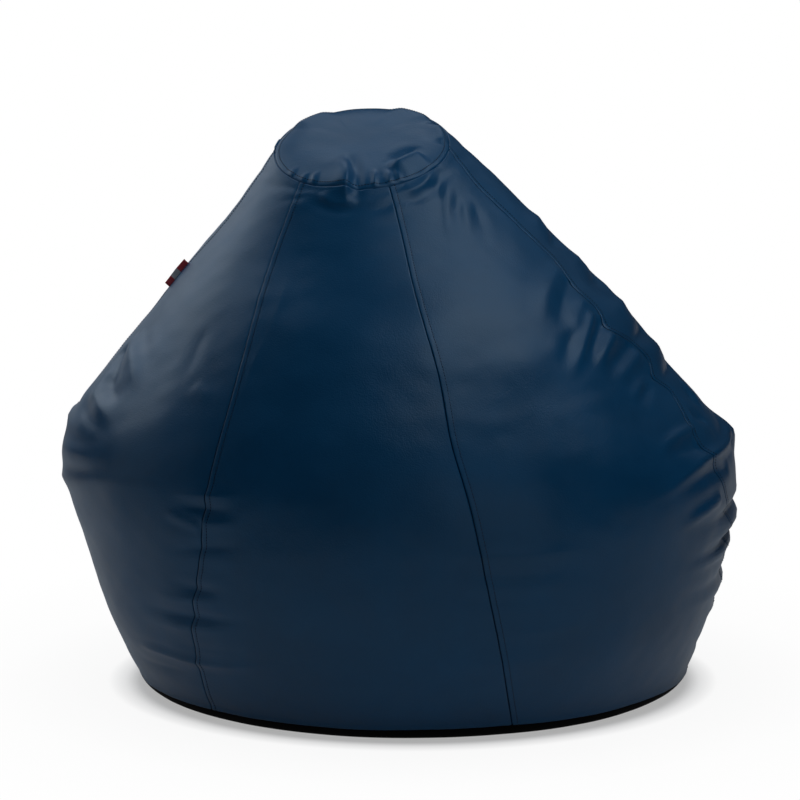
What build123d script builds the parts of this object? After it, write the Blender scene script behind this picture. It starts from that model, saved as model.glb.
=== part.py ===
from build123d import *
from collections import namedtuple
from math import cos, degrees, radians, sin
import os

# A six-gore bean bag chair in leatherette, filled and settled. Millimetres, +Z up.
# The front, where the cap can be seen, faces -Y. The origin is on the floor under the middle of the bag.

# Sheets, from the outside in
COVER_T = 1.2
LINER_GAP = 0.8
LINER_T = 0.5
FILL_GAP = 0.6
LINER_INSET = COVER_T + LINER_GAP
FILL_INSET = LINER_INSET + LINER_T + FILL_GAP

# Sewing: how far a seam is drawn in, how far a gore swells between seams, and the play left in a seam
SEAM_DIP = 3.0
CROWN = 2.0
SEAM_GAP = 0.1

# Rings around the filled cover, from the base seam up to the cap seam: height, middle, half width,
# half depth, nod to the front and roll to the left in degrees, and the compass angles of the left,
# front and right seams, counted from the front toward the right.
Ring = namedtuple("Ring", "z x y wide deep nod roll left front right")
KEY_RINGS = (
    Ring(16, 18, 9, 388, 386, 0, 0, -45, 20, 85),
    Ring(46, 16, 8, 398, 400, 0, 0, -44, 19, 85),
    Ring(128, 14, 2, 429, 428, 0, 0, -42, 15, 83),
    Ring(233, 7, 1, 454, 439, 0, 0, -37, 13, 76),
    Ring(338, -4, -3, 463, 427, 2, 0, -33, 12, 67),
    Ring(426, -18, -19, 405, 387, 5, 0, -34, 12, 73),
    Ring(509, -16, -35, 338, 333, 9, 0, -37, 12, 74),
    Ring(590, -24, -45, 266, 273, 13, 0, -39, 14, 75),
    Ring(669, -35, -44, 191, 196, 18, 1, -40, 17, 77),
    Ring(748, -53, -41, 122, 120, 24, 3, -42, 19, 84),
)
BASE_RING = KEY_RINGS[0]
CAP_RING = KEY_RINGS[-1]
RING_STEPS = 3
BACK_SEAMS = (143, 203, 262)
PANEL_NAMES = ("front", "right", "back_right", "back", "back_left", "left")

# Base panel: flat on the floor, bending up to the base seam
BASE_BEND_Z = 5.6
BASE_BEND_IN = 9.0
BASE_FLAT_IN = 28.0

# Top cap: a low dome
DOME_HIGH = 11.0
DOME_SHOULDER_IN = 26.0
DOME_SHOULDER_Z = 8.0
DOME_FLAT_IN = 70.0

# Zip, let into a shallow channel across the base
ZIP_X = BASE_RING.x
ZIP_Y = BASE_RING.y
CHANNEL_HIGH = 8.0
CHANNEL_TOP = (544, 36)
CHANNEL_MOUTH = (580, 72)
SLIT = (500, 16)
ZIP_ROOM = 3.4
TAPE_T = 0.7
TAPE_LONG = 520
TAPE_EDGE = 2.9
TAPE_WIDE = 12.0
TAPE_Z = CHANNEL_HIGH + COVER_T
CHAIN_Z = TAPE_Z + TAPE_T / 2
CHAIN_T = 2.6
TOOTH_PITCH = 5.0
TOOTH_WIDE = 2.3
TOOTH_REACH = 1.8
TOOTH_PLAY = 0.1
SPINE_WIDE = TAPE_EDGE - TOOTH_REACH - TOOTH_PLAY
CHAIN_START = -232.0
CHAIN_END = 218.0
STOP_LONG = 4.0
STOP_T = 3.4
STOP_HALF = 4.6
STOP_GAP = 1.0

# Slider and pull
SLIDER_X = 224.0
SLIDER_LONG = 18.0
SLIDER_WIDE = 11.5
SLIDER_PLATE_T = 1.3
SLIDER_CHANNEL_T = 3.6
SLIDER_RIM = 1.5
SLIDER_TAPE_SLOT = 1.4
SLIDER_NECK = (3.2, 2.0)
SLIDER_NOSE = 1.0
SLIDER_CORNER = 3.0
BAIL = (6.4, 2.8, 2.8)
BAIL_BORE_R = 1.15
BAIL_BORE_DROP = 0.2
PIN_R = 0.8
PULL_T = 1.6
PULL_WIDE = 8.6
PULL_EYE = (8.4, 5.0)
PULL_END = 1.0
PULL_CORNER = 1.2
PULL_LONG = 30.0
PULL_HOLE_R = 1.8
PULL_HOLE_X = -25.0
PULL_DROOP = 7.0
PIN_Z = CHAIN_Z - SLIDER_CHANNEL_T / 2 - SLIDER_PLATE_T - BAIL[2] / 2 - BAIL_BORE_DROP

# Label sewn into the left seam
LABEL_RING = 20
LABEL_LONG = 46.0
LABEL_OUT = 12.0
LABEL_IN = 1.2
LABEL_CLOTH_T = 0.5
LABEL_FOLD_R = 0.8
LABEL_SLOT_PLAY = 0.1


def ring_between(index, t):
    """The ring part of the way from one key ring to the next, on a smooth curve through them all."""
    first, second = KEY_RINGS[index], KEY_RINGS[index + 1]
    before = KEY_RINGS[index - 1] if index > 0 else Ring(*(2 * p - q for p, q in zip(first, second)))
    is_last = index + 2 == len(KEY_RINGS)
    after = Ring(*(2 * q - p for p, q in zip(first, second))) if is_last else KEY_RINGS[index + 2]
    values = []
    for o, p, q, r in zip(before, first, second, after):
        bend = (2 * o - 5 * p + 4 * q - r) * t**2 + (3 * p - o - 3 * q + r) * t**3
        values.append((2 * p + (q - o) * t + bend) / 2)
    return Ring(*values)


RINGS = [ring_between(i, k / RING_STEPS) for i in range(len(KEY_RINGS) - 1) for k in range(RING_STEPS)]
RINGS.append(CAP_RING)


def seam_angles(ring):
    """Compass angles of the six seams on a ring, and the first one again after a full turn."""
    seams = (ring.left, ring.front, ring.right) + BACK_SEAMS
    return seams + (seams[0] + 360,)


def ring_point(ring, angle, inset, swell):
    """A point on a ring, moved in by inset and out by swell in the ring's own plane."""
    place = Location((ring.x, ring.y, ring.z), (ring.nod, -ring.roll, 0))
    across = (ring.wide - inset + swell) * sin(radians(angle))
    toward = -(ring.deep - inset + swell) * cos(radians(angle))
    return (place * Location((across, toward, 0))).position


def crowned_arc(ring, start, end, inset, trim=(0, 0)):
    """The arc of one gore on a ring, drawn in at its two seams and swelling between them."""
    turn = degrees(SEAM_GAP / 2 / ring.deep)
    first = ring_point(ring, start + trim[0] * turn, inset, -SEAM_DIP)
    crest = ring_point(ring, (start + end) / 2, inset, CROWN)
    last = ring_point(ring, end - trim[1] * turn, inset, -SEAM_DIP)
    return Edge.make_three_point_arc(first, crest, last)


def closed_ring(ring, inset):
    """A whole ring as a wire of six gore arcs."""
    seams = seam_angles(ring)
    return Wire([crowned_arc(ring, seams[k], seams[k + 1], inset) for k in range(6)])


def cut_strip(ring, first, count, inset, thick):
    """The cut that a ring makes through a sheet of cloth over some neighbouring gores."""
    seams = seam_angles(ring)
    seams = seams + tuple(angle + 360 for angle in seams[1:])
    outer = []
    inner = []
    for k in range(first, first + count):
        trim = (int(k == first), int(k == first + count - 1))
        outer.append(crowned_arc(ring, seams[k], seams[k + 1], inset, trim))
        inner.append(crowned_arc(ring, seams[k], seams[k + 1], inset + thick, trim))
    start = Edge.make_line(outer[0] @ 0, inner[0] @ 0)
    end = Edge.make_line(outer[-1] @ 1, inner[-1] @ 1)
    return Wire(outer + [end] + inner + [start])


def cloth(first, count, inset, thick):
    """A sheet of cloth from the base seam to the cap seam over some neighbouring gores."""
    strips = [cut_strip(ring, first, count, inset, thick) for ring in RINGS]
    return Solid.make_loft(strips, ruled=True)


def bag_body(inset):
    """Everything inside the side panels, from the base seam to the cap seam."""
    return Solid.make_loft([closed_ring(ring, inset) for ring in RINGS], ruled=True)


def zip_channel(inset, rise):
    """The hollow under the base that keeps the zip off the floor."""
    low = -1.0
    mouth = SlotOverall(CHANNEL_MOUTH[0] + 2 * inset, CHANNEL_MOUTH[1] + 2 * inset)
    top = SlotOverall(CHANNEL_TOP[0] + 2 * inset, CHANNEL_TOP[1] + 2 * inset)
    roof = CHANNEL_HIGH + inset + rise
    return loft([Pos(ZIP_X, ZIP_Y, low) * mouth, Pos(ZIP_X, ZIP_Y, roof) * top], ruled=True)


def base_body(inset, rise=0):
    """Everything inside the base panel, from the floor to the base seam; rise makes room for the zip."""
    flat = BASE_RING._replace(
        z=inset, wide=BASE_RING.wide - BASE_FLAT_IN, deep=BASE_RING.deep - BASE_FLAT_IN
    )
    bend = BASE_RING._replace(
        z=BASE_BEND_Z + inset, wide=BASE_RING.wide - BASE_BEND_IN, deep=BASE_RING.deep - BASE_BEND_IN
    )
    body = Solid.make_loft([closed_ring(ring, inset) for ring in (flat, bend, BASE_RING)])
    return body - zip_channel(inset, rise)


def dome_ring(inward, lift):
    """A ring over the cap seam, smaller by inward and raised along the cap's own axis by lift."""
    seat = Location((CAP_RING.x, CAP_RING.y, CAP_RING.z), (CAP_RING.nod, -CAP_RING.roll, 0))
    spot = (seat * Location((0, 0, lift))).position
    return CAP_RING._replace(
        x=spot.X, y=spot.Y, z=spot.Z, wide=CAP_RING.wide - inward, deep=CAP_RING.deep - inward
    )


def cap_body(inset):
    """Everything inside the top cap, above the cap seam."""
    shoulder = dome_ring(DOME_SHOULDER_IN, DOME_SHOULDER_Z - inset)
    crest = dome_ring(DOME_FLAT_IN, DOME_HIGH - inset)
    return Solid.make_loft([closed_ring(ring, inset) for ring in (CAP_RING, shoulder, crest)])


def half_space(side):
    """The room in front of (-1) or behind (+1) the zip, short of it by half a seam gap."""
    room = 1200
    return Pos(ZIP_X, ZIP_Y + side * (room + SEAM_GAP) / 2, 0) * Box(room, room, room)


def base_half(side):
    """One half of the base panel, with its half of the zip slit."""
    panel = base_body(0) - base_body(COVER_T)
    slit = Pos(ZIP_X, ZIP_Y, CHANNEL_HIGH) * extrude(SlotOverall(*SLIT), amount=2 * COVER_T, both=True)
    return (panel - slit) & half_space(side)


def zip_place(x, y, z):
    """A place on the zip, counted from its middle, with z counted from the floor."""
    return Pos(ZIP_X + x, ZIP_Y + y, z)


def zip_tape(side):
    """The woven tape on one side of the chain, lying on the roof of the channel."""
    middle = side * (TAPE_EDGE + TAPE_WIDE / 2)
    return zip_place(0, middle, CHAIN_Z) * Box(TAPE_LONG, TAPE_WIDE, TAPE_T)


def zip_teeth(side):
    """One row of teeth on its spine; the other row's teeth stand in the gaps."""
    lead = 0 if side > 0 else TOOTH_PITCH / 2
    count = int((CHAIN_END - CHAIN_START - lead) / TOOTH_PITCH)
    spine_y = side * (TAPE_EDGE - SPINE_WIDE / 2)
    tooth_long = 2 * TOOTH_REACH + TOOTH_PLAY
    tooth_y = side * TOOTH_PLAY / 2
    spine_long = count * TOOTH_PITCH
    row = Pos(CHAIN_START + lead + spine_long / 2, spine_y) * Rectangle(spine_long, SPINE_WIDE)
    steps = [CHAIN_START + lead + (k + 0.5) * TOOTH_PITCH for k in range(count)]
    row += [Pos(x, tooth_y) * Rectangle(TOOTH_WIDE, tooth_long) for x in steps]
    return zip_place(0, 0, CHAIN_Z) * extrude(row, amount=CHAIN_T / 2, both=True)


def zip_top_stops():
    """Two clips that pinch the tape edges past the closed slider."""
    x = SLIDER_X + SLIDER_LONG / 2 + STOP_LONG
    wide = STOP_HALF - STOP_GAP
    clip = Box(STOP_LONG, wide, STOP_T)
    clip -= Pos(0, wide / 2, 0) * Box(STOP_LONG, 2 * (STOP_HALF - TAPE_EDGE), TAPE_T)
    middle = STOP_GAP + wide / 2
    clips = [zip_place(x, side * middle, CHAIN_Z) * Rot(0, 0, 90 - 90 * side) * clip for side in (-1, 1)]
    return Compound(children=clips)


def zip_bottom_stop():
    """One clip that holds both tapes together at the open end."""
    clip = Box(STOP_LONG, 2 * STOP_HALF, STOP_T)
    for side in (-1, 1):
        clip -= Pos(0, side * STOP_HALF, 0) * Box(STOP_LONG, 2 * (STOP_HALF - TAPE_EDGE), TAPE_T)
    return zip_place(CHAIN_START - STOP_LONG, 0, CHAIN_Z) * clip


def zip_slider():
    """Two plates joined by a neck, with rims that leave a slot for each tape, and a bail underneath."""
    high = SLIDER_CHANNEL_T + 2 * SLIDER_PLATE_T
    shell = RectangleRounded(SLIDER_LONG, SLIDER_WIDE, SLIDER_CORNER)
    body = extrude(shell, amount=high / 2, both=True)
    body -= Box(SLIDER_LONG, SLIDER_WIDE - 2 * SLIDER_RIM, SLIDER_CHANNEL_T)
    body -= Box(SLIDER_LONG, SLIDER_WIDE, SLIDER_TAPE_SLOT)
    neck_x = SLIDER_LONG / 2 - SLIDER_NECK[0] / 2 - SLIDER_NOSE
    body += Pos(neck_x, 0, 0) * Box(SLIDER_NECK[0], SLIDER_NECK[1], high - SLIDER_PLATE_T)
    bail = Box(*BAIL) - Pos(0, 0, -BAIL_BORE_DROP) * Rot(90, 0, 0) * Cylinder(BAIL_BORE_R, 2 * BAIL[1])
    body += Pos(0, 0, -(high + BAIL[2]) / 2) * bail
    return zip_place(SLIDER_X, 0, CHAIN_Z) * body


def zip_pull():
    """A flat tab with an eye at one end, whose crossbar turns in the slider's bail."""
    tab = Pos(PULL_END - PULL_LONG / 2, 0) * RectangleRounded(PULL_LONG, PULL_WIDE, PULL_CORNER)
    tab -= Pos(PULL_END - PULL_EYE[0] / 2, 0) * Rectangle(PULL_EYE[0], PULL_EYE[1])
    tab -= Pos(PULL_HOLE_X, 0) * Circle(PULL_HOLE_R)
    body = extrude(tab, amount=PULL_T / 2, both=True)
    body += Rot(90, 0, 0) * Cylinder(PIN_R, PULL_EYE[1] + 1)
    return zip_place(SLIDER_X, 0, PIN_Z) * Rot(0, -PULL_DROOP, 0) * body


def label_plane():
    """Set on the left seam: x along the seam, z straight out of the bag."""
    below, at, above = [
        ring_point(RINGS[LABEL_RING + step], BACK_SEAMS[2], 0, -SEAM_DIP) for step in (-1, 0, 1)
    ]
    along = (above - below).normalized()
    ring = RINGS[LABEL_RING]
    middle = Vector(ring.x, ring.y, ring.z)
    outward = at - middle
    outward = outward - along * outward.dot(along)
    return Plane(origin=at, x_dir=along, z_dir=outward)


def folded_label(play=0.0):
    """A strip folded once, its two ends caught in the seam; play grows it to make its slot."""
    deep = LABEL_OUT + LABEL_IN
    radius = LABEL_FOLD_R + play
    profile = Pos(0, deep / 2 - LABEL_IN) * SlotOverall(deep + 2 * play, 2 * radius, rotation=90)
    if not play:
        hollow = deep - 2 * LABEL_CLOTH_T
        profile -= Pos(0, deep / 2 - LABEL_IN) * SlotOverall(hollow, 2 * (radius - LABEL_CLOTH_T), rotation=90)
    strip_body = extrude(Plane.YZ * profile, amount=LABEL_LONG / 2 + play, both=True)
    return label_plane() * strip_body


nodes = {}
for k, name in enumerate(PANEL_NAMES):
    nodes[f"side_panel_{name}"] = cloth(k, 1, 0, COVER_T)
for name in ("back_left", "left"):
    nodes[f"side_panel_{name}"] -= folded_label(LABEL_SLOT_PLAY)
nodes["top_cap"] = cap_body(0) - cap_body(COVER_T)
nodes["base_panel_front"] = base_half(-1)
nodes["base_panel_back"] = base_half(1)
nodes["seam_label"] = folded_label()

nodes["zip_tape_front"] = zip_tape(-1)
nodes["zip_tape_back"] = zip_tape(1)
nodes["zip_teeth_front"] = zip_teeth(-1)
nodes["zip_teeth_back"] = zip_teeth(1)
nodes["zip_top_stops"] = zip_top_stops()
nodes["zip_bottom_stop"] = zip_bottom_stop()
nodes["zip_slider"] = zip_slider()
nodes["zip_pull"] = zip_pull()

nodes["liner_front"] = cloth(5, 3, LINER_INSET, LINER_T)
nodes["liner_back"] = cloth(2, 3, LINER_INSET, LINER_T)
nodes["liner_top"] = cap_body(LINER_INSET) - cap_body(LINER_INSET + LINER_T)
nodes["liner_base"] = base_body(LINER_INSET, ZIP_ROOM) - base_body(LINER_INSET + LINER_T, ZIP_ROOM)
nodes["bead_fill"] = base_body(FILL_INSET, ZIP_ROOM) + bag_body(FILL_INSET) + cap_body(FILL_INSET)

os.makedirs("parts", exist_ok=True)
for name, solid in nodes.items():
    export_step(solid, f"parts/{name}.step")
    size = solid.bounding_box().size
    print(name, len(solid.solids()), round(solid.volume), [round(v, 1) for v in size])
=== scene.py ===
"""A six-gore bean bag chair in navy leatherette: cover, cap, base, zip, label, liner and filling."""
import math
from collections import namedtuple
from functools import lru_cache

import bmesh
import bpy
import numpy as np

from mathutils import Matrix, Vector


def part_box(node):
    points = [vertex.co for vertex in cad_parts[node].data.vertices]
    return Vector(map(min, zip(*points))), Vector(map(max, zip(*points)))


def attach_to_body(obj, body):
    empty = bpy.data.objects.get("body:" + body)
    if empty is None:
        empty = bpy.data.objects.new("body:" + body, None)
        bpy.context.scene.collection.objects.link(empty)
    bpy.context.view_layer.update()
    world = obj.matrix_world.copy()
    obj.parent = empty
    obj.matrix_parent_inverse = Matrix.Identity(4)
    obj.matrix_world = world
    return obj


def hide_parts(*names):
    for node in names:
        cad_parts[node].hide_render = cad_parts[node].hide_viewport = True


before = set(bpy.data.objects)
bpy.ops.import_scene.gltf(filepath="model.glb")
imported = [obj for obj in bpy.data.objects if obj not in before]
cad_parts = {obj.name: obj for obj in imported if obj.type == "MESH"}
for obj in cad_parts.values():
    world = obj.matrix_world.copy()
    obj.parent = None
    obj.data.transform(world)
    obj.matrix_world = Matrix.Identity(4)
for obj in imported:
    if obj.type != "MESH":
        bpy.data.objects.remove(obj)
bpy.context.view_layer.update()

bl_info = {
    "name": "Bean Bag Chair",
    "version": (1, 0, 0),
    "blender": (4, 5, 0),
    "location": "View3D > Sidebar > Bean Bag",
    "description": "Builds a filled six-gore bean bag chair with its sewing, zip, liner and filling",
    "category": "Add Mesh",
}

MM = 0.001
BAG = "bag"

# Rings around the filled cover, from the base seam up to the cap seam, in millimetres and degrees: height,
# middle, half width, half depth, nod to the front, roll to the left, the compass angles of the left, front
# and right seams, counted from the front toward the right, and how flat the gores lie between the seams.
Ring = namedtuple("Ring", "z x y wide deep nod roll left front right flat")
KEY_RINGS = (
    Ring(16, 18, 9, 388, 386, 0, 0, -44, 19.5, 85, 0),
    Ring(46, 16, 8, 398, 400, 0, 0, -43.5, 18.5, 85, 0),
    Ring(128, 14, 2, 429, 428, 0, 0, -41.8, 15.5, 83, 0),
    Ring(233, 7, 1, 454, 439, 0, 0, -36.2, 12.8, 76, 0),
    Ring(338, -4, -3, 463, 427, 2, 0, -32, 11.4, 67, 0),
    Ring(426, -18, -19, 405, 387, 5, 0, -31.8, 12, 73, 0.05),
    Ring(509, -16, -35, 338, 333, 9, 0, -35.4, 11.9, 74, 0.2),
    Ring(590, -24, -45, 266, 273, 13, 0, -39.7, 12.5, 75, 0.38),
    Ring(669, -35, -44, 191, 196, 18, 1, -44, 13.9, 77, 0.45),
    Ring(748, -53, -41, 122, 120, 24, 3, -42.5, 18.5, 84, 0.1),
)
BASE_RING = KEY_RINGS[0]
CAP_RING = KEY_RINGS[-1]

# Compass angles of the seams at the back, the gores from the left seam round, and how flat each one lies
BACK_SEAMS = (143, 203, 262)
PANELS = ("front", "right", "back_right", "back", "back_left", "left")
GORE_FLAT = (1, 1, 0.1, 0.3, 0.4, 0.9)

# The dome of the cap, how far a gore takes to swell from its ends, and the share of the base seam's height
# below which the cover doesn't sag
DOME_HIGH = 11
DOME_POWER = 5
CROWN_RUN = 90
SEAM_LOWEST = 0.9

# How the right seam, slack where the bag folds, sways from its line: height and degrees
RIGHT_SEAM_SWAY = (
    (280, 0), (349, 0), (365, -2), (398, -1), (433, 2), (459, -3), (472, 2), (504, 1), (534, -6), (553, -2),
    (581, -3), (615, 2), (664, 0), (715, -5), (748, 0),
)

# Places up the skin at which heights and the sway are worked out, and the window that rounds the sway
HEIGHT_SAMPLES = 600
SWAY_SAMPLES = 400
SWAY_WINDOW = np.hanning(15)

# The grid of the skin: columns in each gore, rows up the sides and over the cap, the share of the cap left to
# its hub, how wide the steps are at seams and edges beside even ones, and the columns added beside a seam
GORE_COLUMNS = 96
SIDE_ROWS = 236
CAP_ROWS = 32
CAP_HUB = 0.02
CROWDING = 0.35
SEAM_STEPS = np.array([0, 0.25, 0.55])

# Painted shade in the slit of a seam: how far its colour is darkened and its gloss taken away, at the
# turned-in edge and at each of those columns
SEAM_PAINTED_SHADE = (1.0, 1.0, 0.75, 0.25)

# Folds of the filled cover. A fold runs through points given as compass angle and height; past the cap
# seam the height goes on as the distance toward the middle of the cap. Rise is its height in millimetres,
# or its depth where negative, wide its half width and steep how much narrower its second side is. Fade is
# the share of its length over which it runs out at its start and at its end.
Fold = namedtuple("Fold", "rise wide steep fade points")
CAP_SEAM = CAP_RING.z


def past_seam(*points):
    """Points of a fold, given as compass angle and distance in from the cap seam, or below it if negative."""
    return tuple((angle, CAP_SEAM + inward) for angle, inward in points)


FOLDS = (
    # drapes hanging from the right seam
    Fold(2.5, 12, 0, (0.1, 0.6), ((77, 609), (60, 594), (46, 562))),
    Fold(-3, 10, 0, (0.05, 0.6), ((74, 592), (64, 580), (50, 548))),
    Fold(2.6, 10, 0, (0.1, 0.6), ((72, 572), (62, 556), (49, 526))),
    Fold(-2, 9, 0, (0.3, 0.5), ((60, 549), (50, 532), (43, 506))),
    Fold(4.5, 9, 0.4, (0.1, 0.45), ((70, 555), (58, 533), (44, 492))),
    Fold(-4, 8, 0, (0.1, 0.5), ((71, 544), (61, 526), (51, 494))),
    Fold(4, 9, 0.2, (0.1, 0.5), ((70, 525), (62, 513), (54, 497))),
    Fold(-4, 9, 0, (0.1, 0.6), ((74, 505), (64, 495), (53, 477))),
    Fold(2.5, 8, 0, (0.1, 0.6), ((75, 489), (63, 480), (55, 471))),
    Fold(-3, 8, 0, (0.1, 0.5), ((73, 464), (64, 448), (58, 429))),
    Fold(3, 7, 0.3, (0.1, 0.5), ((72, 459), (64, 455), (56, 441))),
    # creases running in from the right edge
    Fold(4, 6, 0.3, (0.05, 0.6), ((70, 387), (63, 388), (51, 374))),
    Fold(-3.5, 8, 0, (0.1, 0.6), ((66, 368), (58, 369), (49, 357))),
    Fold(6, 8, 0.35, (0.05, 0.6), ((92, 352), (81, 346), (64, 346), (54, 332), (43, 306))),
    Fold(-4, 9, 0, (0.1, 0.6), ((75, 322), (60, 324), (51, 307))),
    Fold(5, 8, 0.3, (0.1, 0.6), ((68, 288), (59, 275), (51, 259))),
    Fold(-6, 7, 0, (0.1, 0.6), ((96, 268), (74, 260), (62, 255), (54, 242))),
    Fold(7, 9, 0, (0.3, 0.4), ((100, 246), (83, 240), (64, 232))),
    Fold(-6, 7, 0, (0.1, 0.6), ((97, 222), (80, 218), (63, 215), (54, 214))),
    Fold(4, 7, 0.3, (0.1, 0.6), ((95, 208), (74, 202), (62, 199), (52, 198))),
    Fold(-3, 8, 0, (0.1, 0.6), ((95, 170), (74, 165), (61, 164), (52, 167))),
    Fold(2.5, 8, 0, (0.1, 0.6), ((95, 155), (73, 148), (60, 146), (52, 151))),
    # slack folds past the right seam, and the bulge under them
    Fold(4, 14, 0, (0.4, 0.5), ((112, 626), (95, 638), (82, 648))),
    Fold(-5, 9, 0, (0.35, 0.5), ((112, 600), (96, 613), (80, 626))),
    Fold(4, 14, 0, (0.4, 0.5), ((110, 573), (95, 586), (80, 598))),
    Fold(-5, 9, 0, (0.35, 0.5), ((110, 548), (94, 561), (78, 576))),
    Fold(5, 14, 0, (0.4, 0.5), ((103, 520), (88, 532), (76, 542))),
    Fold(-6, 10, 0, (0.35, 0.5), ((98, 488), (82, 500), (71, 508))),
    Fold(4, 13, 0, (0.4, 0.5), ((101, 460), (87, 471), (75, 480))),
    Fold(-5, 9, 0, (0.35, 0.5), ((100, 434), (85, 445), (73, 453))),
    Fold(5, 9, 0.2, (0.2, 0.5), ((87, 430), (86, 408), (84, 388))),
    Fold(-5, 8, 0, (0.2, 0.4), ((74, 400), (79, 384))),
    Fold(14, 21, 0, (0.3, 0.3), ((86, 343), (112, 337))),
    # pinch high on the left panel
    Fold(5, 16, 0.3, (0.15, 0.35), ((-88, 490), (-72, 476), (-60, 452))),
    Fold(-5, 14, 0, (0.15, 0.3), ((-88, 478), (-79, 457), (-72, 436))),
    Fold(-3.5, 10, 0, (0.2, 0.4), ((-82, 441), (-72, 439), (-64, 432))),
    Fold(3, 12, 0, (0.3, 0.5), ((-84, 424), (-70, 415), (-60, 408))),
    Fold(-3, 10, 0, (0.3, 0.5), ((-84, 410), (-70, 398), (-58, 390))),
    # faint pulls in the left panel and beside the left seam
    Fold(-1.4, 12, 0, (0.3, 0.5), ((-55, 557), (-52, 520), (-49, 477))),
    Fold(1.4, 11, 0, (0.3, 0.5), ((-46, 485), (-41, 477), (-38, 472))),
    Fold(0.9, 9, 0, (0.4, 0.5), ((-34, 645), (-33, 605), (-32, 560))),
    Fold(1, 9, 0, (0.3, 0.5), ((-33, 570), (-33, 531), (-31, 480))),
    # two ledges round the left side, with a slack band between them
    Fold(6, 12, 0.3, (0.3, 0.5), ((-112, 376), (-92, 376), (-76, 372))),
    Fold(4, 12, 0.3, (0.3, 0.7), ((-114, 290), (-81, 299), (-48, 338), (-34, 352))),
    Fold(-2.2, 11, 0, (0.45, 0.5), ((-86, 362), (-72, 366), (-60, 379))),
    Fold(1.4, 9, 0, (0.45, 0.5), ((-85, 345), (-72, 349), (-60, 360))),
    Fold(-2.4, 11, 0, (0.45, 0.5), ((-86, 318), (-72, 323), (-54, 343))),
    # puckers across the lower left seam
    Fold(3, 6, 0, (0.5, 0.5), ((-41, 333), (-32, 336), (-24, 342))),
    Fold(-3.5, 6, 0, (0.5, 0.5), ((-40, 319), (-33, 315), (-26, 318))),
    Fold(2.5, 5, 0, (0.4, 0.1), ((-42, 304), (-34, 284))),
    Fold(3, 7, 0, (0.1, 0.7), ((-34, 290), (-25, 298))),
    Fold(-3.5, 8, 0, (0.5, 0.5), ((-44, 244), (-35, 255), (-25, 268))),
    Fold(-3.5, 6, 0, (0.5, 0.5), ((-46, 202), (-39, 196), (-30, 201))),
    Fold(3, 6, 0, (0.5, 0.5), ((-51, 178), (-40, 178), (-30, 187))),
    Fold(-4.5, 7, 0, (0.5, 0.5), ((-56, 156), (-40, 155), (-25, 165))),
    Fold(2.5, 9, 0, (0.5, 0.5), ((-58, 140), (-41, 140), (-28, 149))),
    Fold(-2, 9, 0, (0.5, 0.5), ((-56, 110), (-42, 111), (-26, 119))),
    Fold(4, 7, 0.3, (0.3, 0.6), ((-64, 91), (-52, 93), (-43, 90), (-21, 111))),
    Fold(-2, 8, 0, (0.4, 0.4), ((-66, 67), (-52, 68), (-43, 72))),
    # soft creases across the front seam
    Fold(2.6, 8, 0, (0.5, 0.5), ((4, 262), (16, 257), (34, 258))),
    Fold(-2.8, 9, 0, (0.5, 0.5), ((8, 234), (16, 227), (30, 233))),
    Fold(-1.5, 10, 0, (0.5, 0.5), ((2, 205), (16, 196), (30, 200))),
    Fold(2, 9, 0, (0.5, 0.5), ((6, 160), (16, 152), (34, 158))),
    Fold(1.5, 12, 0, (0.5, 0.5), ((-4, 120), (14, 112), (36, 118))),
    # the turn under, above the base seam
    Fold(-2, 12, 0, (0, 0), tuple((angle, 22) for angle in range(-180, 181, 20))),
    # the cap: a triangular lift with a sharp side, small puckers, the roll at its front and its back corners
    Fold(12, 24, 0.7, (0.6, 0.3), past_seam((-42, 92), (-14, 44), (-9, 2), (-11, -20))),
    Fold(-3, 7, 0, (0.5, 0.05), past_seam((-21, 88), (-7, 41), (-5, 5))),
    Fold(2, 4, 0, (0.5, 0.05), past_seam((-60, 20), (-52, 2))),
    Fold(1.8, 4, 0, (0.5, 0.05), past_seam((-46, 20), (-40, 2))),
    Fold(2.5, 4, 0, (0.5, 0.05), past_seam((-39, 28), (-32, 2))),
    Fold(2.5, 3.5, 0, (0.5, 0.05), past_seam((14, 44), (9, 3))),
    Fold(2.5, 4, 0, (0.5, 0.05), past_seam((24, 34), (20, 4))),
    Fold(2, 4, 0, (0.5, 0.05), past_seam((30, 28), (27, 4))),
    Fold(9, 20, 0.7, (0.3, 0.25), past_seam((24, 33), (40, 37), (56, 35), (68, 29))),
    Fold(-2.5, 8, 0, (0.3, 0.3), past_seam((30, 53), (58, 50), (80, 37))),
    Fold(3.5, 9, 0, (0.3, 0.3), past_seam((122, 9), (105, 9), (86, 11))),
    Fold(5, 20, 0, (0.3, 0.3), past_seam((122, 4), (142, 4), (162, 4))),
    Fold(5, 20, 0, (0.3, 0.3), past_seam((-122, 4), (-142, 4), (-162, 4))),
    # rolls hanging under the cap seam, and soft pleats beside them
    Fold(3, 8, 0, (0.3, 0.3), ((25, 747), (26, 742), (31, 739), (40, 740), (48, 744), (56, 747))),
    Fold(3.5, 10, 0.4, (0.3, 0.3), ((-2, 742), (-9, 733), (-18, 732), (-27, 742))),
    Fold(-2.2, 9, 0, (0.1, 0.8), ((63, 746), (51, 732), (43, 715), (36, 690), (33, 668))),
    Fold(1.8, 9, 0, (0.3, 0.8), ((62, 734), (49, 716), (41, 696), (36, 670), (34, 650))),
    Fold(-1.4, 8, 0, (0.3, 0.8), ((62, 725), (55, 711), (49, 698), (43, 676), (40, 655))),
    Fold(1.6, 9, 0, (0.3, 0.8), ((62, 713), (56, 701), (51, 688), (46, 668), (43, 648))),
    Fold(-1.6, 9, 0, (0.3, 0.8), ((68, 708), (63, 697), (60, 686), (54, 664), (50, 640))),
)

# Folds that lie on the cap alone rise within this distance of its seam
CAP_EDGE = 6.0

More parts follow.
